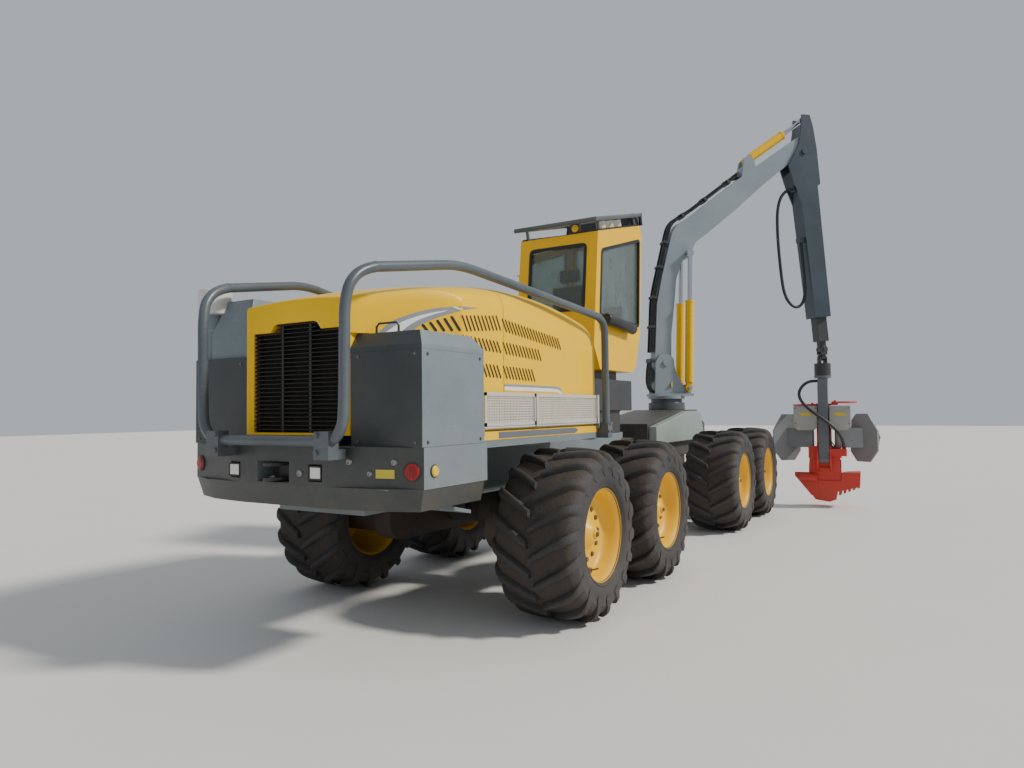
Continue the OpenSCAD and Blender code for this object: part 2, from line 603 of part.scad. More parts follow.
// Axis of the stick, from its upper end to the pin that the head hangs on
stick_top = [2450, 5200];
stick_dir = atan2(hang_pin[0] - stick_top[0], stick_top[1] - hang_pin[1]);
module along_stick() translate([hang_pin[0], 0, hang_pin[1]]) rotate([0, -stick_dir, 0]) children();
stick_plate = [[2350, 6390], [2490, 6390], [2545, 6200], [2600, 5850], [2650, 5260], [2310, 4960], [2193, 5240],
    [2096, 5545], [2200, 5720], [2290, 5900], [2340, 6200]];
stick_low = 520;
stick_box = 2720;
bar_t = 180;
bar_half = 85;
bar_gap = 0.5;
hose_y = -58;
stick_inner = boom_half + side_gap;
module stick() color("slategray") crane() {
    for (s = [-1, 1]) difference() {
        plate_xz(25, s * (stick_inner + 12.5)) polygon(stick_plate);
        cross(tip_pin, tip_pin_d - 1, 600);
    }
    cross(tip_pin, tip_pin_d, 2 * (stick_inner + 45));
    difference() {
        along_stick() hull() {
            translate([-132, -stick_inner - 25, stick_low]) cube([264, 2 * stick_inner + 50, 10]);
            translate([-165, -stick_inner - 25, stick_box - 10]) cube([320, 2 * stick_inner + 50, 10]);
        }
        along_stick() translate([-bar_t / 2 - bar_gap, -bar_half - bar_gap, stick_low - 50])
            cube([bar_t + 2 * bar_gap, 2 * bar_half + 2 * bar_gap, 2130]);
    }
    // Clamps of the hose loop
    along_stick() for (z = [1760, 2600]) translate([-260, hose_y - 45, z]) cube([110, 90, 80]);
}
module stick_barrel() color("gold") crane() barrel(stick_base, stick_eye, stick_barrel_d, stick_rod_d, 0, 90, 660, 100);
module stick_rod() color("silver") crane() piston(stick_base, stick_eye, stick_rod_d, 0, 430, 100);
module extension() color("dimgray") crane() difference() {
    along_stick() {
        translate([-bar_t / 2, -bar_half, 130]) cube([bar_t, 2 * bar_half, 2120]);
        translate([-60, -40, 0]) cube([120, 80, 140]);
        translate([0, 40, 0]) rotate([90, 0, 0]) cylinder(d = 120, h = 80);
    }
    cross(hang_pin, cyl_pin_d + 2 * pin_gap, 400);
}
module hanger() color("dimgray") crane() translate([hang_pin[0], 0, 0]) difference() {
    union() {
        for (s = [-1, 1]) translate([0, s * 60, 0]) {
            cross([0, hang_pin[1]], 120, 28);
            block([-50, -14, yoke_z + 53], [50, 14, hang_pin[1]]);
        }
        cross([0, hang_pin[1]], cyl_pin_d, 180);
        block([-50, -74, yoke_z + 52], [50, 74, yoke_z + 72]);
        block([-35, -45, yoke_z], [35, 45, yoke_z + 60]);
        translate([-35, 0, yoke_z]) rotate([0, 90, 0]) cylinder(d = 90, h = 70);
    }
    translate([-200, 0, yoke_z]) rotate([0, 90, 0]) cylinder(d = 50 + 2 * pin_gap, h = 400);
}
module rotator_yoke() color("dimgray") crane() translate([hang_pin[0], 0, 0]) {
    for (s = [-1, 1]) translate([s * 53, 0, 0]) {
        translate([-12, 0, yoke_z]) rotate([0, 90, 0]) cylinder(d = 90, h = 24);
        block([-12, -45, rotator_top - 5], [12, 45, yoke_z]);
    }
    translate([-75, 0, yoke_z]) rotate([0, 90, 0]) cylinder(d = 50, h = 150);
    translate([0, 0, rotator_low]) cylinder(d = 250, h = rotator_top - rotator_low);
}
module head_bracket() color("slategray") head() difference() {
    union() {
        translate([0, 0, 2090]) cylinder(d = 260, h = rotator_low - 2090 - seat_gap);
        plate_xz(2 * arm_half) polygon([[-180, tilt_z], [-60, tilt_z], [-60, 1660], [110, 1900], [110, 2092],
            [-110, 2092], [-180, 1960]]);
        cross([tilt_x, tilt_z], 130, 2 * arm_half);
    }
    cross([tilt_x, tilt_z], 60 + 2 * pin_gap, 400);
}
module head_frame() color("firebrick") head() {
    // Spine in front of the bracket
    block([-45, -110, 560], [80, 110, 1677]);
    // Ears of the tilting pin
    for (s = [-1, 1]) plate_xz(30, s * (arm_half + side_gap + 15)) polygon([[-40, 560], [-40, 1050], [-190, 900],
        [-215, 780], [-160, 660]]);
    cross([tilt_x, tilt_z], 60, 2 * (arm_half + side_gap + 40));
    // Lugs and pins of the feed arms
    both_sides() {
        for (z = [790, 1370]) {
            block([-20, 100, z], [80, arm_pin[1], z + 30]);
            translate([arm_pin[0], arm_pin[1], z]) cylinder(d = 100, h = 30);
        }
        translate([arm_pin[0], arm_pin[1], 780]) cylinder(d = 50, h = 630);
    }
    // Lugs of the knives
    for (s = [1, -1]) mirror([0, s < 0 ? 1 : 0, 0]) {
        top = s > 0 ? 1640 : 1677;
        block([-20, 100, top - 30], [70, knife_pin[1], top]);
        translate([knife_pin[0], knife_pin[1], top - 30]) cylinder(d = 90, h = 30);
        translate([knife_pin[0], knife_pin[1], top - 30]) cylinder(d = 40, h = 80);
    }
    // Flanks beside the tilting bracket
    both_sides() block([-60, 100, 560], [-42, 230, 985]);
    // Valve block where the hose comes in
    block([-150, -330, 830], [-30, -105, 945]);
    translate(head_route[len(head_route) - 1]) rotate([0, 131.5, -3.6]) translate([0, 0, 0.3])
        cylinder(d = 62, h = 62);
    // Lower body above the saw
    plate_xz(2 * 240) polygon([[-60, 430], [170, 430], [170, 760], [60, 760], [-60, 640]]);
}
module head_hoods() color("lightgray") head() for (y = [[85, 450], [-405, -85]])
    hull() {
        block([-140, y[0], 1300], [-45 - seat_gap, y[1], 1640]);
        block([-110, y[0] + 60, 1240], [-45 - seat_gap, y[1] - 60, 1301]);
    }
module at_arm(side) mirror([0, side < 0 ? 1 : 0, 0]) translate([arm_pin[0], arm_pin[1], 0])
    rotate([0, 0, arm_open]) translate([-arm_pin[0], -arm_pin[1], 0]) children();
module feed_arm(side) head() at_arm(side) difference() {
    union() {
        translate([arm_pin[0], arm_pin[1], 820 + seat_gap]) cylinder(d = 96, h = 550 - 2 * seat_gap);
        hull() {
            translate([arm_pin[0], arm_pin[1], 960]) cylinder(d = 90, h = 320);
            block([drum_at[0] - 145, 300, 960], [drum_at[0] - 125, 470, 1280]);
        }
        // Guard plate behind the roller
        translate([drum_at[0] - 135, drum_at[1], drum_at[2]]) rotate([90, 0, 90]) linear_extrude(30)
            polygon([[-170, -230], [-60, -385], [170, -385], [310, -200], [310, 120], [150, 385], [-60, 385],
                [-170, 250]]);
        translate([drum_at[0] - 110, drum_at[1], drum_at[2]]) rotate([0, 90, 0]) cylinder(d = 100, h = 215);
    }
    translate([arm_pin[0], arm_pin[1], 700]) cylinder(d = 50 + 2 * pin_gap, h = 800);
}
module roller(side) head() at_arm(side) translate(drum_at) rotate([0, 90, 0]) difference() {
    union() {
        translate([0, 0, -roller_w / 2]) cylinder(d = roller_d - 40, h = roller_w);
        for (a = [0 : 30 : 330]) rotate([0, 0, a]) translate([roller_d / 2 - 40, -14, -roller_w / 2 + 10])
            cube([40, 28, roller_w - 20]);
    }
    translate([0, 0, -roller_w]) cylinder(d = 100 + 2 * pin_gap, h = 2 * roller_w);
}
module left_feed_arm() color("slategray") feed_arm(1);
module right_feed_arm() color("slategray") feed_arm(-1);
module left_roller() color("silver") roller(1);
module right_roller() color("silver") roller(-1);
// Sickle of a knife, thinner towards its tip
knife_mid = [250, -120];
function knife_half(a) = 8 + 27 * (a + 10) / 170;
function knife_edge(s) = [for (a = [160 : -17 : -10])
    knife_mid + (285 + s * knife_half(a)) * [cos(a), sin(a)]];
module knife(side, z) head() mirror([0, side < 0 ? 1 : 0, 0]) translate([knife_pin[0], knife_pin[1], z])
    rotate([0, 0, 30]) difference() {
        inner = knife_edge(-1);
        union() {
            cylinder(d = 110, h = 30);
            linear_extrude(30) polygon(concat(knife_edge(1), [for (i = [len(inner) - 1 : -1 : 0]) inner[i]]));
        }
        translate([0, 0, -5]) cylinder(d = 40 + 2 * pin_gap, h = 40);
    }
module left_knife() color("firebrick") knife(1, 1640 + seat_gap);
module right_knife() color("firebrick") knife(-1, 1677 + seat_gap);
// Outline drawn as place to the left and height, extruded forwards from a length
module plate_yz(x, t) translate([x, 0, 0]) rotate([90, 0, 90]) linear_extrude(t) children();
saw_top = 430 - seat_gap;
saw_slots = 5;
module saw_box() color("red") head() {
    plate_yz(-80, 250) polygon([[-160, head_low + 40], [-60, head_low], [150, head_low + 30], [240, 260],
        [240, saw_top], [-160, saw_top]]);
    // Housing of the saw bar, with slots along its lower edge
    difference() {
        plate_yz(-80, 380) polygon([[-130, head_low + 75], [-60, head_low + 90], [-60, saw_top], [-243, saw_top],
            [-243, 545], [-330, 560], [-520, 570], [-505, 330]]);
        for (i = [0 : saw_slots - 1]) block([-100, -470 + i * 68, head_low], [400, -440 + i * 68, 330 - i * 18]);
    }
    // Plate on the left and the motor on it
    plate_yz(-90, 25) polygon([[100, 200], [206, 186], [455, 500], [455, 560], [235, 560], [100, saw_top]]);
    translate([-130, 110, 480]) rotate([-90, 0, 0]) cylinder(d = 120, h = 280);
}

module tyre_lug() {
    // Chevron bar from the middle of the tread over the shoulder: place along the axle, turn, radius, half width
    w = tyre_w / 2;
    r = tyre_od / 2;
    stations = [[6, 0, r, 26], [w * 0.8, 14, r - 18, 28], [w - 6, 19, r - 120, 30]];
    points = [for (s = stations) each let (a = s[1], h = s[3], low = s[2] - 80) [
        [low * sin(a) + h, s[0], low * cos(a)],
        [low * sin(a) - h, s[0], low * cos(a)],
        [s[2] * sin(a) - h * 0.8, s[0], s[2] * cos(a)],
        [s[2] * sin(a) + h * 0.8, s[0], s[2] * cos(a)]]];
    polyhedron(points = points, faces = loft_faces(3, 4));
}
module wheel(x, side) machine() translate([x, side * track_half, axle_z]) mirror([0, side < 0 ? 1 : 0, 0]) {
    w = tyre_w / 2;
    r = tyre_od / 2 - lug_h;
    color("dimgray") {
        rotate([90, 0, 0]) rotate_extrude($fn = 64) polygon([[rim_d / 2 - 12, -rim_w / 2 + 6], [r - 190, -w + 8],
            [r - 70, -w + 24], [r - 24, -w + 70], [r, 0], [r - 24, w - 70], [r - 70, w - 24], [r - 190, w - 8],
            [rim_d / 2 - 12, rim_w / 2 - 6]]);
        for (i = [0 : lug_n - 1]) for (s = [0, 1]) mirror([0, s, 0]) rotate([0, (i + s / 2) * 360 / lug_n, 0]) tyre_lug();
    }
    color("gold") rotate([90, 0, 0]) rotate_extrude($fn = 64) polygon([[rim_d / 2, -rim_w / 2], [rim_d / 2, -rim_w / 2 + 10],
        [rim_d / 2 - 12, rim_w / 2 - 5], [rim_d / 2, rim_w / 2], [rim_d / 2 - 14, rim_w / 2], [rim_d / 2 - 60, 100], [rim_d / 2 - 60, -rim_w / 2 + dish + 20],
        [0.01, -rim_w / 2 + dish + 20], [0.01, -rim_w / 2 + dish], [rim_d / 2 - 60, -rim_w / 2 + dish], [rim_d / 2 - 14, -rim_w / 2]]);
}
module right_wheel_1() wheel(0, -1);
module right_wheel_2() wheel(bogie_pitch, -1);
module right_wheel_3() wheel(front_axle_x, -1);
module right_wheel_4() wheel(front_axle_x + bogie_pitch, -1);
module left_wheel_1() wheel(0, 1);
module left_wheel_2() wheel(bogie_pitch, 1);
module left_wheel_3() wheel(front_axle_x, 1);
module left_wheel_4() wheel(front_axle_x + bogie_pitch, 1);

// Route of the free hose loop beside the stick, as distance ahead of the stick's axis and along it
loop_route = [[-260.3, 2640], [-300, 2640], [-350, 2625], [-410, 2585], [-465, 2525], [-510, 2440], [-545, 2330],
    [-570, 2200], [-590, 2000], [-602, 1800], [-608, 1600], [-610, 1400], [-608, 1200], [-598, 1030], [-570, 900],
    [-522, 805], [-460, 742], [-395, 722], [-330, 745], [-280, 800], [-245, 880], [-225, 980], [-214, 1120],
    [-210, 1280], [-208, 1450], [-207, 1600], [-207, 1700], [-207, 1759.7]];
// Route of the hose from the rotator's bracket to the head's valve block
head_route = [[-20, 75.3, 2045], [-20, 134, 2045], [-28, 198, 2037], [-47, 255, 2011], [-72, 300, 1971],
    [-103, 332, 1923], [-137, 351, 1870], [-172, 352, 1814], [-206, 336, 1760], [-237, 308, 1709], [-264, 271, 1662],
    [-286, 228, 1617], [-305, 181, 1575], [-319, 132, 1534], [-328, 80, 1494], [-333, 28, 1455], [-334, -24, 1415],
    [-329, -75, 1373], [-320, -124, 1330], [-307, -168, 1283], [-288, -208, 1234], [-264, -240, 1182],
    [-236, -264, 1128], [-202, -279, 1073], [-162, -287, 1022], [-115, -290, 980.3]];
hose_d = 50;
module loop_hose() color("black") crane() along_stick() tube([for (p = loop_route) [p[0], hose_y, p[1]]], hose_d);
module head_hose() color("black") head() tube(head_route, hose_d);

rear_frame();
engine_block();
hood();
grille();
rear_bumper();
rear_boxes();
right_box_cover();
air_stack();
hood_guard();
rear_lights();
tow_hitch();
right_step();
left_step();
cab_base();
cab_shell();
cab_door();
cab_glass();
door_glass();
seat();
cab_controls();
roof_guard();
work_lights();
rear_axle();
front_frame();
front_covers();
front_axle();
right_wheel_1();
right_wheel_2();
right_wheel_3();
right_wheel_4();
left_wheel_1();
left_wheel_2();
left_wheel_3();
left_wheel_4();
crane_base();
crane_foot();
main_boom();
lift_barrels();
lift_rods();
stick();
stick_barrel();
stick_rod();
extension();
hanger();
rotator_yoke();
head_bracket();
head_frame();
head_hoods();
left_feed_arm();
right_feed_arm();
left_roller();
right_roller();
left_knife();
right_knife();
saw_box();
loop_hose();
head_hose();
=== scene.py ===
import bmesh
import bpy
import json
import math
import numpy as np
from mathutils import Matrix


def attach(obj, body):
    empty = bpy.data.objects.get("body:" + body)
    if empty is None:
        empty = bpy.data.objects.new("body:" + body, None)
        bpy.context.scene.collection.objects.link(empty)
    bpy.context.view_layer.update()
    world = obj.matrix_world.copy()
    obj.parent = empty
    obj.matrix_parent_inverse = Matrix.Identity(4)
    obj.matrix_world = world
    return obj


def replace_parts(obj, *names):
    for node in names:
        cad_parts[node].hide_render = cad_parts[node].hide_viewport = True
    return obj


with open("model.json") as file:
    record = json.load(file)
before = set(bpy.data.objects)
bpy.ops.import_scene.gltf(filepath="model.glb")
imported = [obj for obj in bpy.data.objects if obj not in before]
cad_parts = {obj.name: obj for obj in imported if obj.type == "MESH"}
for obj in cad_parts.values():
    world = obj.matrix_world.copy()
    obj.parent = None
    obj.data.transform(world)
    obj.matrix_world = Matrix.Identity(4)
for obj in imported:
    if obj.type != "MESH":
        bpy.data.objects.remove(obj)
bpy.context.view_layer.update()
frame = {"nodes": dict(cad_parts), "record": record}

# Where the machine's own frames stand, in metres and degrees
layout = {
    "shift": (-3.1024, 0.694, 0.0),   # rearmost axle's middle on the ground, seen from the row frame's origin
    "slewX": 5.86, "slewTurn": -50.0,
    "reach": 2.69, "hangHeight": 2.56, "stickLean": 5.194,
    "headTurn": 4.0,
    "roofFoot": (2.17, 3.59), "roofSlope": 14.55,
    "axleHeight": 0.66, "bogiePitch": 1.54, "frontAxle": 4.64, "track": 1.14,
}


def turned(a, b, degrees):
    # a' = a cos t - b sin t, b' = a sin t + b cos t
    c, s = math.cos(math.radians(degrees)), math.sin(math.radians(degrees))
    return a * c - b * s, a * s + b * c


def onMachine(p):
    # along the machine, to its left, up, from under the rearmost axle
    return np.asarray(p, float) + np.array(layout["shift"])


def onCrane(p):
    # reach from the slewing axis, to the left of the boom, up
    p = np.asarray(p, float)
    x, y = turned(p[..., 0], p[..., 1], layout["slewTurn"])
    return onMachine(np.stack([x + layout["slewX"], y, p[..., 2]], -1))


def onStick(p):
    # ahead of the stick's axis, to its left, along it from the pin that the head hangs on
    p = np.asarray(p, float)
    x, z = turned(p[..., 0], p[..., 2], layout["stickLean"])
    return onCrane(np.stack([x + layout["reach"], p[..., 1], z + layout["hangHeight"]], -1))


def onHead(p):
    # ahead of the head's middle, to its left, up
    p = np.asarray(p, float)
    x, y = turned(p[..., 0], p[..., 1], layout["headTurn"])
    cx, cy = turned(layout["reach"], 0.0, layout["slewTurn"])
    return onMachine(np.stack([x + cx + layout["slewX"], y + cy, p[..., 2]], -1))


def onRoof(p):
    # forward along the roof from its rear edge, to the left, away from it
    p = np.asarray(p, float)
    x, z = turned(p[..., 0], p[..., 2], layout["roofSlope"])
    fx, fz = layout["roofFoot"]
    return onMachine(np.stack([x + fx, p[..., 1], z + fz], -1))


# Camera
shot = {
    "place": (-8.1914, -2.972, 1.614), "yaw": 30.64, "pitch": 2.117, "roll": -0.603, "lens": 25.24,
    "sensor": 36, "farEnd": 300,
}
cameraData = bpy.data.cameras.new("shot")
cameraData.lens = shot["lens"]
cameraData.sensor_width = shot["sensor"]
cameraData.clip_end = shot["farEnd"]
camera = bpy.data.objects.new("shot", cameraData)
bpy.context.scene.collection.objects.link(camera)
yaw, pitch, roll = (math.radians(shot[k]) for k in ("yaw", "pitch", "roll"))
ahead = np.array([math.cos(yaw) * math.cos(pitch), math.sin(yaw) * math.cos(pitch), math.sin(pitch)])
level = np.array([math.sin(yaw), -math.cos(yaw), 0])
rise = np.cross(level, ahead)
right = math.cos(roll) * level + math.sin(roll) * rise
above = -math.sin(roll) * level + math.cos(roll) * rise
rows = [[right[i], above[i], -ahead[i], shot["place"][i]] for i in range(3)]
camera.matrix_world = Matrix(rows + [[0, 0, 0, 1]])
bpy.context.scene.camera = camera


# Surfaces: every shell is a pair of points (n x 3) and faces (lists of point numbers)
def gridFaces(rows, columns, loop=False):
    # the square at row i, column j; the columns always run round, the rows only where loop is set
    i, j = np.indices((rows if loop else rows - 1, columns))
    k = (j + 1) % columns
    here, after = i * columns, (i + 1) % rows * columns
    return np.stack([here + j, here + k, after + k, after + j], -1).reshape(-1, 4).tolist()


def loft(rings, loop=False):
    # rings[i, j] is point j of closed ring i; flat ends close it unless it runs round
    rows, columns = rings.shape[:2]
    faces = gridFaces(rows, columns, loop)
    if not loop:
        faces += [list(range(columns)), list(range((rows - 1) * columns, rows * columns))]
    return rings.reshape(-1, 3), faces


def outward(shell):
    # six times the volume is the sum of a . (b x c) over all triangles; a negative one is turned over
    points, faces = shell
    tri = np.array([(f[0], f[k], f[k + 1]) for f in faces for k in range(1, len(f) - 1)])
    a, b, c = (points[tri[:, i]] - points.mean(0) for i in range(3))
    if (a * np.cross(b, c)).sum() < 0:
        faces = [f[::-1] for f in faces]
    return points, faces


def smoothLine(points, step):
    # Catmull-Rom curve through the points, resampled at even steps along its length
    p = np.asarray(points, float)
    q = np.vstack([2 * p[0] - p[1], p, 2 * p[-1] - p[-2]])
    t = np.linspace(0, 1, 24, endpoint=False)[:, None]
    a, b, c, d = (q[i:len(q) - 3 + i][:, None] for i in range(4))
    curve = 0.5 * (2 * b + (c - a) * t + (2 * a - 5 * b + 4 * c - d) * t**2 + (3 * b - a - 3 * c + d) * t**3)
    curve = np.vstack([curve.reshape(-1, p.shape[1]), p[-1:]])
    length = np.concatenate([[0], np.cumsum(np.linalg.norm(np.diff(curve, axis=0), axis=1))])
    at = np.linspace(0, length[-1], max(2, int(round(length[-1] / step)) + 1))
    return np.stack([np.interp(at, length, curve[:, k]) for k in range(p.shape[1])], 1)


def bend(a, b, c, radius, most, steps):
    # (1 - t)^2 s + 2 t (1 - t) b + t^2 e, from a radius before b to a radius behind it, or most of a side
    r = min(radius, most * np.linalg.norm(a - b), most * np.linalg.norm(c - b))
    s, e = b + (a - b) / np.linalg.norm(a - b) * r, b + (c - b) / np.linalg.norm(c - b) * r
    t = np.linspace(0, 1, steps + 1)[:, None]
    return (1 - t)**2 * s + 2 * t * (1 - t) * b + t**2 * e


def roundedLine(points, radius):
    # straight runs joined by bends
    p = np.asarray(points, float)
    bends = [bend(a, b, c, radius, 0.48, 6) for a, b, c in zip(p[:-2], p[1:-1], p[2:])]
    return np.vstack([p[:1]] + bends + [p[-1:]])


def carried(path, section, scale=None):
    # section (m x 2) carried along the path without twisting: P = path + u sx + v sy
    path = np.asarray(path, float)
    t = np.gradient(path, axis=0)
    t /= np.linalg.norm(t, axis=1)[:, None]
    u = np.zeros_like(t)
    u[0] = np.cross(t[0], [0.31, 0.9, 0.3] if abs(t[0][1]) < 0.9 else [1, 0, 0.1])
    u[0] /= np.linalg.norm(u[0])
    for i in range(1, len(t)):
        w = u[i - 1] - t[i] * (u[i - 1] @ t[i])
        u[i] = w / np.linalg.norm(w)
    v = np.cross(t, u)
    scale = np.ones(len(path)) if scale is None else scale
    section = np.asarray(section, float)
    offset = section[None, :, :1] * u[:, None] + section[None, :, 1:] * v[:, None]
    return loft(path[:, None] + scale[:, None, None] * offset)


def disc(radius, sides):
    a = np.linspace(0, 2 * math.pi, sides, endpoint=False)
    return np.stack([radius * np.cos(a), radius * np.sin(a)], 1)


def pipe(path, diameter, sides=14, scale=None):
    return carried(path, disc(diameter / 2, sides), scale)


def lathe(profile, foot, axis, sides=64, loop=False):
    # profile of (radius, distance along the axis) turned round: P = foot + r (u cos a + v sin a) + h axis
    foot, axis = np.asarray(foot, float), np.asarray(axis, float) / np.linalg.norm(axis)
    u = np.cross(axis, [0, 0, 1] if abs(axis[2]) < 0.9 else [1, 0, 0])
    u /= np.linalg.norm(u)
    v = np.cross(axis, u)
    a = np.linspace(0, 2 * math.pi, sides, endpoint=False)
    around = np.cos(a)[:, None] * u + np.sin(a)[:, None] * v
    profile = np.asarray(profile, float)
    rings = foot + profile[:, 0, None, None] * around[None] + profile[:, 1, None, None] * axis
    return loft(rings, loop)


def rod(a, b, diameter, sides=32, edge=0.003):
    # round bar from a to b with small chamfers
    a, b = np.asarray(a, float), np.asarray(b, float)
    h, r = np.linalg.norm(b - a), diameter / 2
    edge = min(edge, r * 0.3, h * 0.3)
    return lathe([(r - edge, 0), (r, edge), (r, h - edge), (r - edge, h)], a, b - a, sides)


def slab(outline, low, high, place=onMachine, axis=1):
    # flat outline, extruded from low to high across it: along the left (axis 1), up (2) or ahead (0)
    outline = np.asarray(outline, float)
    rings = np.stack([np.insert(outline, axis, h, axis=1) for h in (low, high)])
    points, faces = loft(rings)
    return place(points), faces


def rectangle(left, foot, right, top):
    return [(left, foot), (right, foot), (right, top), (left, top)]


def box(lo, hi, place=onMachine):
    return slab(rectangle(lo[0], lo[2], hi[0], hi[2]), lo[1], hi[1], place)


def asDrawn(p):
    return p


def bolt(at, normal, size):
    # hexagon head on its washer
    r = size / 2
    hexagon = [(r, 0.0), (r, r * 0.8), (r * 0.86, r), (0.001, r)]
    washer = [(r * 1.25, 0.0), (r * 1.25, r * 0.2), (0.001, r * 0.2)]
    return [lathe(hexagon, at, normal, 6), lathe(washer, at, normal, 18)]


def movedTo(place, shells):
    return [(place(points), faces) for points, faces in shells]


paints = {}


def makePiece(name, body, parts, bevel=0.0, replaced=(), segments=2, sharp=38):
    # parts are (paint's name, shells) pairs that become one mesh
    mesh = bpy.data.meshes.new(name)
    points, faces, numbers, start = [], [], [], 0
    for number, (paint, shells) in enumerate(parts):
        mesh.materials.append(paints[paint])
        for shell in shells:
            p, f = outward(shell)
            points.append(p)
            faces += [[k + start for k in face] for face in f]
            numbers += [number] * len(f)
            start += len(p)
    mesh.from_pydata(np.vstack(points).tolist(), [], faces)
    mesh.polygons.foreach_set("material_index", numbers)
    return finishPiece(name, body, mesh, bevel, replaced, segments, sharp)


def finishPiece(name, body, mesh, bevel, replaced, segments=2, sharp=38):
    mesh.polygons.foreach_set("use_smooth", [True] * len(mesh.polygons))
    piece = bpy.data.objects.new(name, mesh)
    bpy.context.scene.collection.objects.link(piece)
    if bevel:
        edges = piece.modifiers.new("edges", "BEVEL")
        edges.width = bevel
        edges.segments = segments
        edges.limit_method = "ANGLE"
        edges.angle_limit = math.radians(32)
        edges.harden_normals = True
    else:
        mesh.set_sharp_from_angle(angle=math.radians(sharp))
    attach(piece, body)
    if replaced:
        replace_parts(piece, *replaced)
    return piece


bodyOf = {node: body for body, nodes in frame["record"]["behaviour"]["bodies"].items() for node in nodes}


def softened(node, paint, slot, bevel, second=None, where=None):
    # the CAD solid with joined flat faces and rounded edges; a second paint where a test says so
    mesh = frame["nodes"][node].data.copy()
    mesh.name = node + "Soft"
    mesh.materials.clear()
    mesh.materials.append(paints[paint])
    if second:
        mesh.materials.append(paints[second])
    work = bmesh.new()
    work.from_mesh(mesh)
    bmesh.ops.remove_doubles(work, verts=work.verts, dist=2e-5)
    bmesh.ops.dissolve_limit(work, angle_limit=math.radians(0.6), verts=work.verts, edges=work.edges)
    for face in work.faces:
        face.material_index = 1 if where and where(face.calc_center_median(), face.normal) else 0
    work.to_mesh(mesh)
    work.free()
    for attribute in ("sharp_edge", "custom_normal"):
        if attribute in mesh.attributes:
            mesh.attributes.remove(mesh.attributes[attribute])
    return finishPiece(mesh.name, bodyOf[node], mesh, bevel, (node,))


# Materials
def linear(code):
    # hexadecimal screen colour to linear light
    v = np.array([int(code[i:i + 2], 16) for i in (0, 2, 4)]) / 255
    v = np.where(v <= 0.04045, v / 12.92, ((v + 0.055) / 1.055)**2.4)
    return (*v.tolist(), 1.0)


class nodeMaker:
    # short way to place and join nodes in one tree
    def __init__(self, tree):
        self.tree = tree

    def add(self, kind, inputs=None, **settings):
        node = self.tree.nodes.new(kind)
        for key, value in settings.items():
            setattr(node, key, value)
        for key, value in (inputs or {}).items():
            if isinstance(value, bpy.types.NodeSocket):
                self.tree.links.new(value, node.inputs[key])
            else:
                node.inputs[key].default_value = value
        return node

    def math(self, operation, a, b=0.0, clamp=False):
        return self.add("ShaderNodeMath", {0: a, 1: b}, operation=operation, use_clamp=clamp).outputs[0]

    def times(self, a, b, clamp=False):
        return self.math("MULTIPLY", a, b, clamp)

    def mix(self, factor, a, b):
        return self.add("ShaderNodeMix", {0: factor, 6: a, 7: b}, data_type="RGBA",
                        clamp_factor=True).outputs[2]

    def ranged(self, value, low, high, start=0.0, end=1.0):
        return self.add("ShaderNodeMapRange", {0: value, 1: low, 2: high, 3: start, 4: end},
                        clamp=True).outputs[0]

    def noise(self, place, scale, detail=4.0, rough=0.55):
        values = {"Vector": place, "Scale": scale, "Detail": detail, "Roughness": rough}
        return self.add("ShaderNodeTexNoise", values).outputs[0]

    def wave(self, place, scale, distortion, way):
        values = {"Vector": place, "Scale": scale, "Distortion": distortion}
        return self.add("ShaderNodeTexWave", values, bands_direction=way).outputs[1]

    def drawnOut(self, place, scale, turn=(0.0, 0.0, 0.0)):
        return self.add("ShaderNodeMapping", {"Vector": place, "Rotation": turn, "Scale": scale}).outputs[0]

    def place(self):
        return self.add("ShaderNodeTexCoord").outputs["Object"]


def socketed(name, inputs, outputs):
    # node group whose inputs and outputs are (label, kind) pairs
    group = bpy.data.node_groups.new(name, "ShaderNodeTree")
    kinds = {"color": "NodeSocketColor", "value": "NodeSocketFloat"}
    for way, sockets in (("INPUT", inputs), ("OUTPUT", outputs)):
        for label, kind in sockets:
            group.interface.new_socket(label, in_out=way, socket_type=kinds[kind])
    n = nodeMaker(group)
    return group, n, n.add("NodeGroupInput").outputs, n.add("NodeGroupOutput")


